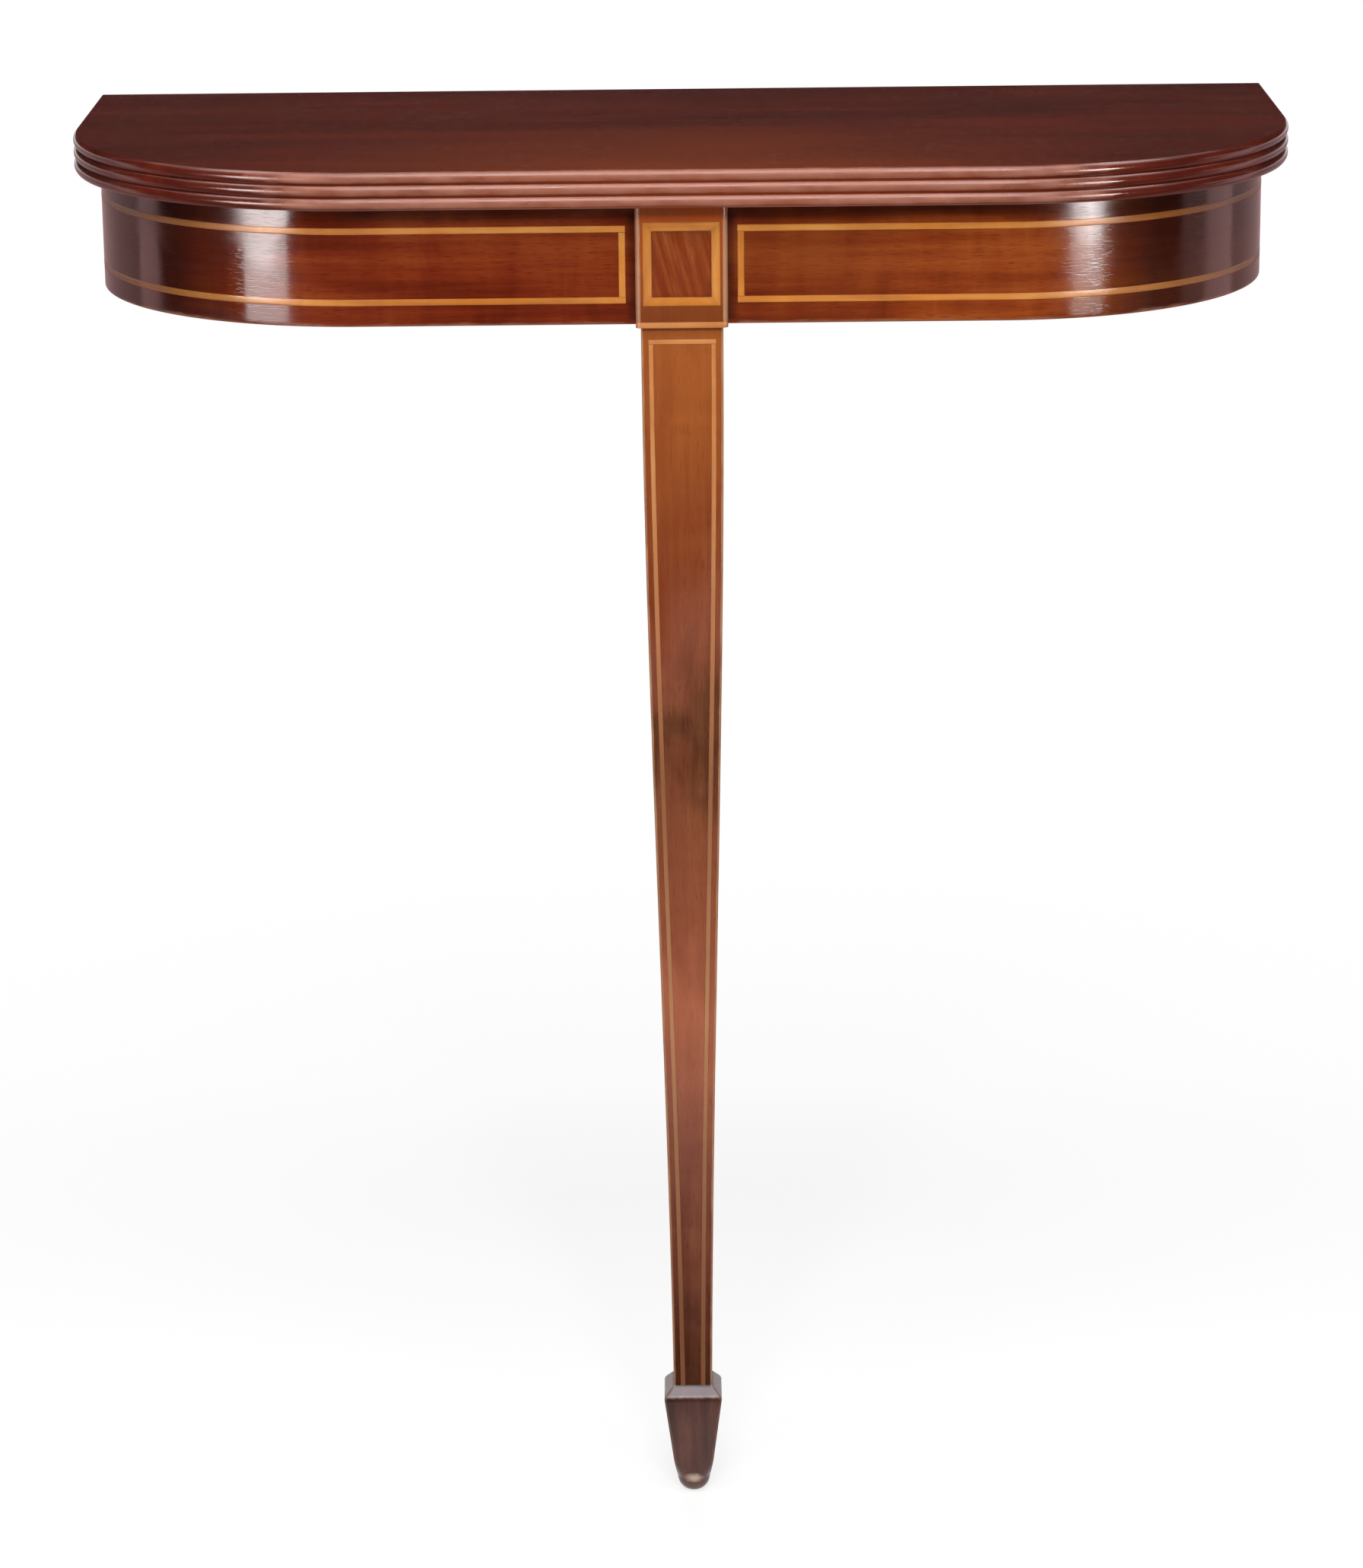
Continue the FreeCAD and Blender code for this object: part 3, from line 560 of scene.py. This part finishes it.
line_figure = shades((190, 106, 36), (226, 142, 60), (240, 168, 86), Figure=0.45, Fibre=0.4, Mottle=0.2, Pores=0.12)
line_finish = polished_wood("boxwood line", own_grain, line_figure, (236, 172, 104), (140, 70, 26),
                            gloss=0.2, tint=line_tint)
panel_low, panel_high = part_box("tablet_panel")
outer, inner = frame_corners(tablet_low, tablet_high, string_gap), frame_corners(panel_low, panel_high, -string_gap)
mitre_share = np.linspace(0.0, 1.0, 9)[:, None]
mitre_rub = np.minimum(joint_rub, np.where(np.abs(mitre_share - 0.5) > 0.49, -0.2, 0.0))
for start, side_name in enumerate(("bottom", "right", "top", "left")):
    edge, inside = [corners[start] * (1 - mitre_share) + corners[(start + 1) % 4] * mitre_share
                    for corners in (outer, inner)]
    mitre_x, mitre_z = [edge[:, axis, None] * (1 - across) + inside[:, axis, None] * across for axis in (0, 1)]
    let_in("tablet_frame_" + side_name, "tablet_string_" + side_name, line_finish,
           (mitre_x, head_face + crown, mitre_z), (mitre_x, head_face + tablet_depth, mitre_z),
           mitre_rub, (mitre_share * 0.04 + 0.1 * start, across * 0.0048))


def striped_place(tree):
    """Place on the head turned so that the grain runs steeply across the tablet."""
    turn = {"Vector": object_place(tree), "Rotation": (0.0, -1.32, 0.0), "Scale": (1.6, 1.0, 1.6)}
    return put(tree, "Mapping", turn).outputs[0]


stripe_figure = shades((112, 40, 10), (144, 58, 16), (176, 92, 40), Figure=0.6, Fibre=0.45, Mottle=0.05, Pores=0.5)
tablet_finish = polished_wood("figured tablet", striped_place, stripe_figure, (190, 120, 76), (60, 24, 10),
                              gloss=0.24, spread=0.08)
panel_proud, waxed_border = 0.00003, 0.05
panel_share = np.r_[0.0, 0.03, 0.08, np.linspace(0.15, 0.85, 8), 0.92, 0.97, 1.0]
panel_x = fitted(panel_low.x, panel_high.x - panel_low.x, panel_share)
panel_z = fitted(panel_low.z, panel_high.z - panel_low.z, panel_share)[:, None]
from_border = np.minimum(panel_share, 1 - panel_share) / waxed_border
panel_rub = 0.3 * np.clip(np.minimum(from_border, from_border[:, None]), 0.0, 1.0) - 0.3
face = sheet((panel_x, head_face - panel_proud * (1.0 + panel_rub), panel_z), panel_rub)
back = sheet((panel_x, head_face + tablet_depth, panel_z))
settle("tablet_stripe", slab(face, back), tablet_finish, "tablet_panel")


# Spade foot: a block of dark-stained wood, bored for the leg's tenon, with a sloped shoulder above a tapering body.
# Its toe is turned to a ball that stands on a small flat; polish has worn off the arrises and the toe. Painted light
# lies on the foot: a grey reflection on the shoulder and a highlight on the toe.
collar_half, collar_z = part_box("spade_foot")[1].x, ankle - 0.006
foot_bottom_half = 0.00845
toe_radius, toe_flat, toe_flare, toe_ease = 0.0094, 0.004, np.radians(28.0), 0.0008
ball_z = np.sqrt(toe_radius ** 2 - toe_flat ** 2)
collar_soft, soft_reach = 0.0004, 0.001
bore_radius, bore_end = 0.0051, ankle - 0.0268

ball_swing = np.linspace(np.arcsin(ball_z / toe_radius), 0.0, 18)
foot_z = np.r_[ball_z - toe_radius * np.sin(ball_swing), np.linspace(ball_z + 0.001, collar_z - 0.0012, 40),
               collar_z + np.array([-0.0006, -0.0002, 0.0002, 0.0008]), np.linspace(collar_z + 0.0016, ankle, 8)]
from_collar = np.abs(foot_z - collar_z)
body_half = foot_bottom_half + (collar_half - foot_bottom_half) * foot_z / collar_z
slope_half = ankle_half + (collar_half - ankle_half) * (ankle - foot_z) / (ankle - collar_z)
foot_half = np.minimum(body_half, slope_half) - collar_soft * np.clip(1.0 - from_collar / soft_reach, 0.0, 1.0)
foot_ring = square_ring((0.0014, 0.003, 0.006, 0.009), turns=8)
foot_x, foot_y = ring_points(foot_ring, foot_half, np.interp(foot_z, [0.0, 0.03, ankle], [0.0022, 0.0013, 0.0009]))

# Toe: the body is cut back to the ball and the cone above it, by a minimum of their reaches with an eased edge.
turned = np.where(foot_z < ball_z, np.sqrt(np.maximum(toe_radius ** 2 - (foot_z - ball_z) ** 2, 0.0)),
                  toe_radius + (foot_z - ball_z) * np.tan(toe_flare))[:, None]
reach = np.hypot(foot_x, foot_y)
eased = (turned + reach - np.sqrt((turned - reach) ** 2 + toe_ease ** 2) + 0.25 * toe_ease) / 2
kept = np.minimum(1.0, eased / reach)
foot_x, foot_y = foot_x * kept, foot_y * kept
foot_rub = np.clip(foot_ring[3] * np.clip((foot_z - 0.012) / 0.01, 0.0, 1.0)[:, None]
                   + np.clip(0.5 - from_collar / 0.0012, 0.0, 1.0)[:, None]
                   - np.clip(1.0 - (ankle - foot_z) / 0.0012, 0.0, 1.0)[:, None], -1.0, 1.0)
bore = drawn_in(foot_x[-1], foot_y[-1], bore_radius)
foot_x, foot_y = [np.concatenate([grid[:1] * 0, grid, hole, hole, hole * 0])
                  for hole, grid in zip(bore, (foot_x, foot_y))]
foot_rub = np.concatenate([foot_rub[:1], foot_rub, *[foot_rub[-1:]] * 3])
foot_z = np.r_[0.0, foot_z, ankle, bore_end, bore_end]


def foot_tint(tree, colour):
    """A grey painted reflection lies on the sloped shoulder; the front of the toe is rubbed paler, partly as a painted
    highlight, and a near-white painted highlight spot sits on it.
    """
    place, height = object_place(tree), object_axes(tree)["Z"]
    scuffs = streaks(tree, place, (300.0, 300.0, 300.0))
    # The grey on the sloped shoulder is a painted reflection.
    shoulder = weighed(tree, (height, 1.0), (scuffs, 0.003))
    shoulder_reflection = tinted(tree, colour, (140, 124, 128), 0.75, shoulder, collar_z + 0.0012, collar_z + 0.0028)
    # The toe is rubbed paler: wear, and partly a painted highlight.
    toe = weighed(tree, (height, 1.0), (scuffs, 0.006))
    toe_worn_and_lit = tinted(tree, shoulder_reflection, (122, 84, 70), 0.45, toe, 0.016, 0.009)
    # A near-white painted highlight spot on the front of the toe.
    flatten = np.array([1.0, 0.3, 1.8])
    spot_place = flatten * (0.0, leg_y - toe_radius, 0.0095)
    spot = place_sums(tree, "DISTANCE", place_sums(tree, "MULTIPLY", place, flatten)[0], spot_place)["Value"]
    toe_highlight_spot = weighed(tree, (spot, 1.0), (scuffs, 0.003))
    return tinted(tree, toe_worn_and_lit, (226, 198, 178), 0.9, toe_highlight_spot, 0.0075, 0.003)


foot_figure = shades((58, 26, 20), (92, 47, 35), (126, 76, 54), Figure=0.5, Fibre=0.35, Mottle=0.2, Pores=0.4)
foot_finish = polished_wood("stained foot", up_the_leg, foot_figure, (122, 90, 80), (34, 20, 18),
                            gloss=0.26, tint=foot_tint)
foot_sheets = [sheet((foot_x, leg_y + foot_y, foot_z[:, None]), foot_rub)]
settle("foot_spade", foot_sheets, foot_finish, "spade_foot")


# Frieze veneer: two strips of mahogany veneer, one each side of the leg, bent round the bricks and glued to them.
# Grooves for the string lines are cut into the face; the lower edge is rubbed round and pale, partly a painted
# highlight.
# Darkening by the leg is painted shade, and under the top it is painted shade with some wax.
top_low, top_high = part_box("top_board")
front_edge, wall = top_low.y, top_high.y
corner_radius = 0.162
front_run = top_high.x - corner_radius
corner_run = corner_radius * np.pi / 2
path_end = front_run + corner_run + (wall - front_edge - corner_radius)
overhang, veneer_thickness = 0.014, 0.0016
line_width, line_border, line_end_border = 0.0036, 0.011, 0.005
leg_shade_reach, top_shade_and_wax_reach, pale_edge_reach = 0.006, 0.009, 0.0022


def round_table(station, inset):
    """Point on the D line inset from the top's edge, at a station measured along that edge from the front's middle:
    straight along the front, a quarter circle, then straight back to the wall. Left stations are negative."""
    along = np.abs(station)
    turn = np.clip((along - front_run) / corner_radius, 0.0, np.pi / 2)
    back = np.maximum(along - front_run - corner_run, 0.0)
    x = np.minimum(along, front_run) + (corner_radius - inset) * np.sin(turn)
    y = front_edge + corner_radius - (corner_radius - inset) * np.cos(turn) + back
    return np.sign(station) * x, y


def stations(first, last):
    """Stations from first to last, close together round the corner and wider apart on the straight."""
    ends = front_run, front_run + corner_run
    even = np.r_[np.linspace(0.0, ends[0], 28), np.linspace(*ends, 57)[1:], np.linspace(ends[1], path_end, 16)[1:]]
    return np.r_[first, even[(even > first + 0.0004) & (even < last - 0.0004)], last]


def on_frieze(station, z, depth):
    """Point on the frieze's face at a station and height, depth below the face."""
    x, y = round_table(station, overhang + depth)
    return x, y, z


line_first, line_last = head_half + line_end_border, path_end - line_end_border
line_low, line_high = frieze_low + line_border, underside - line_border
stops = np.r_[line_first, line_first + line_width, line_last - line_width, line_last]
veneer_s = stations(head_half, path_end)
veneer_s = veneer_s[np.abs(veneer_s[:, None] - stops).min(axis=1) > 0.0003]
veneer_s = np.sort(np.r_[veneer_s, stops - hair, stops + hair, head_half + 0.0012, head_half + 0.0025])
levels = np.r_[line_low, line_low + line_width, line_high - line_width, line_high]
edge_round = 0.0009
edge_swing = np.linspace(0.0, np.pi / 2, 6)
plain_z = np.r_[frieze_low + 0.003, frieze_low + 0.007, np.linspace(line_low + 0.006, line_high - 0.006, 7),
                line_high + 0.003, underside - 0.004, underside]
veneer_z = np.sort(np.r_[frieze_low + edge_round * (1 - np.sin(edge_swing)), plain_z, levels - hair, levels + hair])
setback = np.clip(frieze_low + edge_round - veneer_z, 0.0, edge_round)
setback = edge_round - np.sqrt(edge_round ** 2 - setback ** 2)
in_length = (veneer_s > stops[0]) & (veneer_s < stops[3])
in_height = (veneer_z > levels[0]) & (veneer_z < levels[3])
on_end = (veneer_s < stops[1]) | (veneer_s > stops[2])
on_side = (veneer_z < levels[1]) | (veneer_z > levels[2])
grooved = in_length[:, None] & in_height & (on_end[:, None] | on_side)
veneer_depth = setback + np.where(grooved, string_depth, 0.0)
# Painted shade darkens the veneer by the leg and under the top, and the rounded lower edge is rubbed pale, partly as a
# painted highlight.
shade_by_leg = np.clip(1.0 - (veneer_s - head_half) / leg_shade_reach, 0.0, 0.7)[:, None]
up_to_corner = np.clip((0.22 - veneer_s) / 0.06, 0.0, 1.0)[:, None]
shade_and_wax_by_top = np.clip(1.0 - (underside - veneer_z) / top_shade_and_wax_reach, 0.0, 0.6) * up_to_corner
worn_and_lit_low_edge = np.clip(1.0 - (veneer_z - frieze_low) / pale_edge_reach, 0.0, 1.0)
veneer_rub_and_light = np.where(worn_and_lit_low_edge > 0, 1.2 * worn_and_lit_low_edge - shade_by_leg, -np.maximum(shade_by_leg, shade_and_wax_by_top))


def corner_shade_tint(tree, colour):
    """Painted shade darkens the veneer round the corners, where the sides turn from the light, from further forward on
    the right.
    A patch to the right of the leg is darker and redder."""
    along = put(tree, "SeparateXYZ", {0: own_grain(tree)}).outputs["X"]
    reach = weighed(tree, (sums(tree, "ABSOLUTE", along), 1.0), (along, 0.045))
    shaded_round_corners = tinted(tree, colour, (50, 17, 12), 0.87, reach, 0.205, 0.272)
    from_patch = sums(tree, "ABSOLUTE", sums(tree, "SUBTRACT", along, 0.06))
    return tinted(tree, shaded_round_corners, (104, 36, 18), 0.4, from_patch, 0.06, 0.02)


veneer_tones = ((84, 22, 8), (128, 46, 20), (156, 70, 30)), ((96, 32, 10), (146, 62, 24), (176, 88, 36))
for (side, side_name), tones in zip(sides, veneer_tones):
    side_s = side * veneer_s[:, None]
    face, back = [sheet(on_frieze(side_s, veneer_z, depth), rub_and_light, (side_s, veneer_z))
                  for depth, rub_and_light in ((veneer_depth, veneer_rub_and_light), (veneer_thickness, 0.0))]
    figure = shades(*tones, Figure=0.55, Fibre=0.3, Mottle=0.32, Pores=0.5)
    veneer = polished_wood("mahogany veneer " + side_name, own_grain, figure, (172, 112, 84), (56, 16, 7),
                           gloss=0.08, spread=0.13, ripple=0.9, tint=corner_shade_tint)
    settle("veneer_" + side_name, slab(face, back), veneer, "frieze_veneer_" + side_name)


# Strings of the frieze: a rectangle of boxwood lines on each half, bent round the corners in the veneer's grooves.
# The long lines run through, and short uprights close them by the leg and by the wall.
long_s = stations(line_first + string_gap, line_last - string_gap)[:, None]
short_z = np.linspace(line_low + line_width, line_high - line_width, 9)[:, None]
frieze_lines = {
    "upper": (long_s, fitted(line_high - line_width, line_width)), "lower": (long_s, fitted(line_low, line_width)),
    "leg_end": (fitted(line_first, line_width), short_z),
    "wall_end": (fitted(line_last - line_width, line_width), short_z)}
for side, side_name in sides:
    for line_name, (line_s, line_z) in frieze_lines.items():
        side_s = side * line_s
        along_line = (line_z, side_s) if line_z is short_z else (side_s, line_z)
        full_name = side_name + "_" + line_name
        let_in("frieze_line_" + full_name, "frieze_string_" + full_name, line_finish,
               on_frieze(side_s, line_z, crown), on_frieze(side_s, line_z, string_depth),
               joint_rub, along_line)


# Top: one mahogany board with its grain along the table, worked into three reeds round the front and the sides.
# The face is polished dark; the crowns of the reeds and the arris above them are rubbed pale, partly as a painted
# highlight, and old wax fills the quirks between them.
reeds, reed_depth = 3, 0.0016
board_top = top_high.z
reed_height = (board_top - underside) / reeds
reed_radius = ((reed_height / 2) ** 2 + reed_depth ** 2) / (2 * reed_depth)
reed_swing = np.linspace(1.0, -1.0, 15) * np.arcsin(reed_height / 2 / reed_radius)
field = 0.02

# Section of the edge, from the face over the three round reeds to the underside: inset, height and rub, with painted
# highlight on the crowns.
reed_levels = board_top - (np.arange(reeds) + 0.5) * reed_height
reed_inset = np.tile(reed_radius * (1 - np.cos(reed_swing)), reeds)
reed_z = (reed_levels[:, None] + reed_radius * np.sin(reed_swing)).ravel()
reed_rub_and_highlight = np.tile(np.clip(2.0 - 2.4 * np.abs(reed_swing - 0.05), -0.9, 0.95), reeds)
edge_inset = np.r_[field, 0.008, 0.004, reed_inset, 0.004, 0.008, field]
edge_z = np.r_[[board_top] * 3, reed_z, [underside] * 3]
edge_rub_and_highlight = np.r_[0.0, 0.0, 0.3, 0.6, reed_rub_and_highlight[1:], 0.0, 0.0, 0.0]
rim_s = stations(0.0, path_end)
rim_s = np.r_[-rim_s[:0:-1], rim_s][:, None]
rim_x, rim_y = round_table(rim_s, edge_inset)
# The pale rub and painted highlight fade towards the ends, where the sides turn from the light.
edge_rub_and_highlight = np.where(edge_rub_and_highlight > 0.0, edge_rub_and_highlight * np.clip((0.25 - np.abs(rim_s)) / 0.05, 0.1, 1.0), edge_rub_and_highlight)
board_sheets = [sheet((rim_x, rim_y, edge_z), edge_rub_and_highlight)]

# Face and underside are ruled from the edge's inner line to the straight back; the back and its ends close it.
back_x = np.abs(rim_x[0, 0]) * rim_s / path_end
rule = np.linspace(0.0, 1.0, 7)
for line, level in ((0, board_top), (-1, underside)):
    ruled_x = rim_x[:, line, None] * (1 - rule) + back_x * rule
    ruled_y = rim_y[:, line, None] * (1 - rule) + wall * rule
    board_sheets.append(sheet((ruled_x, ruled_y, level)))
board_sheets.append(sheet((back_x, wall, edge_z)))
for end in (0, -1):
    end_x = np.stack([rim_x[end], np.full_like(edge_z, rim_x[end, 0])])
    board_sheets.append(sheet((end_x, wall, edge_z)))


def top_tint(tree, colour):
    """The face is darkest towards the wall and the ends, and redder in the middle of the front, with a few scuffs."""
    place, axes = object_place(tree), object_axes(tree)
    wander = streaks(tree, place, (5.0, 16.0, 16.0))
    to_front = weighed(tree, (axes["Y"], -1.0), (wander, 0.12))
    off_middle = weighed(tree, (sums(tree, "ABSOLUTE", axes["X"]), 1.0), (wander, 0.2))
    warm = sums(tree, "MULTIPLY", between(tree, to_front, 0.02, 0.2), between(tree, off_middle, 0.36, 0.14))
    warmed = mixed(tree, sums(tree, "MULTIPLY", warm, 0.8), colour, screen(156, 70, 34))
    scratch = streaks(tree, place, (22.0, 700.0, 1.0), 2.0, 1.0)
    return tinted(tree, warmed, (140, 84, 64), 0.15, scratch, 0.73, 0.8)


top_figure = shades((84, 28, 19), (103, 36, 23), (124, 48, 29), Figure=0.55, Fibre=0.2, Mottle=0.1, Pores=0.06)
top_finish = polished_wood("mahogany top", object_place, top_figure, (182, 115, 92), (66, 28, 18),
                           gloss=0.1, spread=0.14, ripple=0.2, tint=top_tint)
board = settle("board_top", board_sheets, top_finish, "top_board", soft=30.0)

# The underside was planed and left without polish.
bare_figure = shades((84, 50, 34), (124, 80, 56), (150, 104, 74), Figure=0.4, Fibre=0.4, Pores=0.6)
board.data.materials.append(planed_wood("bare mahogany", bare_figure, shine=0.2, dull=0.85, smooth=0.7, relief=0.0003))
faces = board.data.polygons
facing = np.empty(len(faces) * 3, np.float32)
faces.foreach_get("normal", facing)
faces.foreach_set("material_index", (facing[2::3] < -0.99).astype(np.int32))


# Fixing blocks: six sawn pine blocks rubbed in with glue under the top, against the core and the rail.
# They are the same bare pine as the core, with the free edge planed off.
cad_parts["fixing_blocks"].data.materials[0] = bpy.data.materials["pine centre"]


# Studio: a white floor that keeps the shadow, and soft boxes overhead, above the camera and behind the table.
# By each corner a strip and an oval lamp make the highlight on the frieze, and a high box the glint on the reeds.
# Dark cloths and glowing rose cloths lie and hang out of the picture for the polish to reflect; nothing but
# reflections sees them, so the rose ones paint a rose reflection.
def plain_card(name, material, *corners):
    """Flat sheet that belongs to the studio, from the x, y and z of its four corners."""
    mesh = bpy.data.meshes.new(name)
    mesh.from_pydata(np.stack(np.broadcast_arrays(*corners), axis=-1).tolist(), [], [(0, 1, 2, 3)])
    mesh.materials.append(material)
    card = placed(name, mesh)
    return card


def seen_directly(tree):
    """1 for rays that show the background: from the camera, off gloss or through glass."""
    rays = put(tree, "LightPath").outputs
    seen = sums(tree, "MAXIMUM", rays["Is Camera Ray"], rays["Is Glossy Ray"])
    return sums(tree, "MAXIMUM", seen, rays["Is Transmission Ray"])


white = (1.0, 1.0, 1.0, 1.0)
floor_paint = bpy.data.materials.new("floor paint")
floor_paint.use_nodes = True
floor_tree = floor_paint.node_tree
floor_tree.nodes.clear()


def floor_layer(kind, feeds):
    """One shader of the floor's paint."""
    return put(floor_tree, kind, feeds).outputs[0]


# Round the table the floor is lit paint that takes the shadow; further off it fades to plain white.
lit = floor_layer("BsdfDiffuse", {"Color": (0.42, 0.42, 0.42, 1.0)})
near = floor_layer("AddShader", {0: lit, 1: floor_layer("Emission", {"Color": white, "Strength": 0.71})})
far = floor_layer("Emission", {"Color": white, "Strength": 1.0})
from_middle = place_sums(floor_tree, "DISTANCE", object_place(floor_tree), (0.0, 0.0, 0.0))["Value"]
shown = floor_layer("MixShader", {0: between(floor_tree, from_middle, 0.35, 1.1), 1: near, 2: far})
matt = floor_layer("BsdfDiffuse", {"Color": (0.8, 0.8, 0.8, 1.0)})
painted = floor_layer("MixShader", {0: seen_directly(floor_tree), 1: matt, 2: shown})
put(floor_tree, "OutputMaterial", {"Surface": painted})
plain_card("floor", floor_paint, (-9, 9, 9, -9), (-3, -3, 14, 14), 0.0)

dark_cloth = new_finish("dark cloth", Base_Color=screen(34, 30, 29), Roughness=0.9)[0]
# The rose cloths glow though they are no lamps, and paint a rose reflection on the polish.
rose = {"Base_Color": screen(68, 50, 52), "Roughness": 0.9, "Emission_Color": screen(186, 146, 146)}
glowing_rose_cloth = new_finish("rose cloth", Emission_Strength=0.9, **rose)[0]
glowing_bright_cloth = new_finish("bright rose cloth", Emission_Strength=2.7, **rose)[0]

# The drape hangs in an arc before the table; cards behind and beside it begin above the top, and are for it alone.
hung, card_back = 3.2, 1.3
card_z = (0.765, 0.765, 3.0, 3.0)
drape_turn = np.radians(np.linspace(-96.0, 84.0, 49))
drape_sheet = sheet((hung * np.sin(drape_turn), -hung * np.cos(drape_turn), np.array([[0.0], [2.6]])))
drape = welded("drape", [drape_sheet], soft=35.0)
drape.data.materials.append(dark_cloth)
cloths = [drape, plain_card("card_behind", dark_cloth, (-3, 3, 3, -3), card_back, card_z),
          plain_card("cloth_before", dark_cloth, (-2.6, 2.6, 2.6, -2.6), (-3.4, -3.4, -0.2, -0.2), 0.002)]
for (side, side_name), widens in zip(sides, (0.42, 0.58)):
    beside, streak = side * np.array([0.45, 6.0, 6.0, 0.45]), side * np.array([1.5, 6.0, 6.0, 1.5])
    streak_y = (0.16, 1.0, 5.72 * widens, 1.22 * widens)
    cloths += [
        plain_card("cloth_beside_" + side_name, glowing_rose_cloth, beside, (-0.2, -2.0, 8.0, 8.0), 0.001),
        plain_card("cloth_streak_" + side_name, glowing_bright_cloth, streak, streak_y, 0.002),
        plain_card("card_" + side_name, dark_cloth, hung * side, (-0.4, card_back, card_back, -0.4), card_z)]
for cloth in cloths:
    cloth.visible_camera = cloth.visible_diffuse = cloth.visible_shadow = False


def stand(thing, place, right, up, back):
    """Stands a lamp or the camera at a place, turned by its three axes."""
    axes = np.stack([right, up, back], axis=1)
    thing.matrix_world = Matrix.Translation(place) @ Matrix(axes.tolist()).to_4x4()


def soft_box(name, place, aim, width, height, power):
    """Rectangular studio light at a place, turned to face the aim."""
    light = bpy.data.lights.new(name, "AREA")
    light.shape, light.size, light.size_y, light.energy = "RECTANGLE", width, height, power
    box = placed(name, light)
    back = np.array(place, float) - np.array(aim, float)
    back /= np.linalg.norm(back)
    right = np.cross((0.0, 0.0, 1.0), back)
    right /= np.linalg.norm(right)
    stand(box, place, right, np.cross(back, right), back)
    return box


# The lamps by the corners light nothing but the polish. Each strip is low, and its oval brightens the upper half.
corner_lamps = [
    soft_box("strip_left", (-0.5605, -0.486, 0.6325), (-0.216, -0.12, 0.6325), 0.19, 0.225, 0.85),
    soft_box("strip_right", (0.523, -0.513, 0.6325), (0.211, -0.122, 0.6325), 0.14, 0.225, 0.32),
    soft_box("oval_left", (-0.569, -0.477, 0.678), (-0.218, -0.12, 0.678), 0.27, 0.135, 0.92),
    soft_box("oval_right", (0.523, -0.513, 0.682), (0.211, -0.122, 0.682), 0.17, 0.125, 1.4),
    soft_box("reed_box_left", (-0.95, -0.36, 1.95), (-0.22, -0.13, 0.74), 0.6, 0.6, 6.0),
    soft_box("reed_box_right", (0.95, -0.36, 1.95), (0.22, -0.13, 0.74), 0.6, 0.6, 6.0)]
for lamp in corner_lamps:
    lamp.visible_camera = lamp.visible_diffuse = False
    if lamp.name.startswith("oval"):
        lamp.data.shape = "ELLIPSE"
soft_box("soft_box_over", (0.0, -0.9, 2.3), (0.0, -0.1, 0.7), 1.6, 0.7, 14.0)
soft_box("soft_box_front", (0.0, -2.5, 2.4), (0.0, -0.1, 0.5), 1.2, 0.8, 44.0)
soft_box("soft_box_back", (0.0, 2.6, 1.1), (0.0, 0.1, 0.5), 1.6, 1.0, 22.0).visible_glossy = False

world = bpy.data.worlds.new("studio")
bpy.context.scene.world = world
world.use_nodes = True
world_tree = world.node_tree
background = world_tree.nodes["Background"].inputs
background["Color"].default_value = white
world_tree.links.new(between(world_tree, seen_directly(world_tree), 0.0, 1.0, 0.2, 1.0), background["Strength"])

# Camera: on the table's middle line in front of it, higher than the top, looking down at the middle of the leg.
picture_height, focal_pixels = 2061.0, 6538.4
eye = (0.0050, -2.6816, 1.1626)
pitch, yaw, roll = np.radians([16.268, -0.176, 0.61])
forward = np.array([np.sin(yaw) * np.cos(pitch), np.cos(yaw) * np.cos(pitch), -np.sin(pitch)])
right = np.array([np.cos(yaw), -np.sin(yaw), 0.0])
down = np.cross(forward, right)
level_right = np.cos(roll) * right + np.sin(roll) * down
level_down = np.cos(roll) * down - np.sin(roll) * right
lens = bpy.data.cameras.new("camera")
lens.sensor_fit = "VERTICAL"
lens.sensor_height = 36.0
lens.lens = focal_pixels / picture_height * lens.sensor_height
lens.clip_end = 100.0
camera = placed("camera", lens)
stand(camera, eye, level_right, -level_down, -forward)
bpy.context.scene.camera = camera
bpy.context.scene.view_settings.view_transform = "Standard"
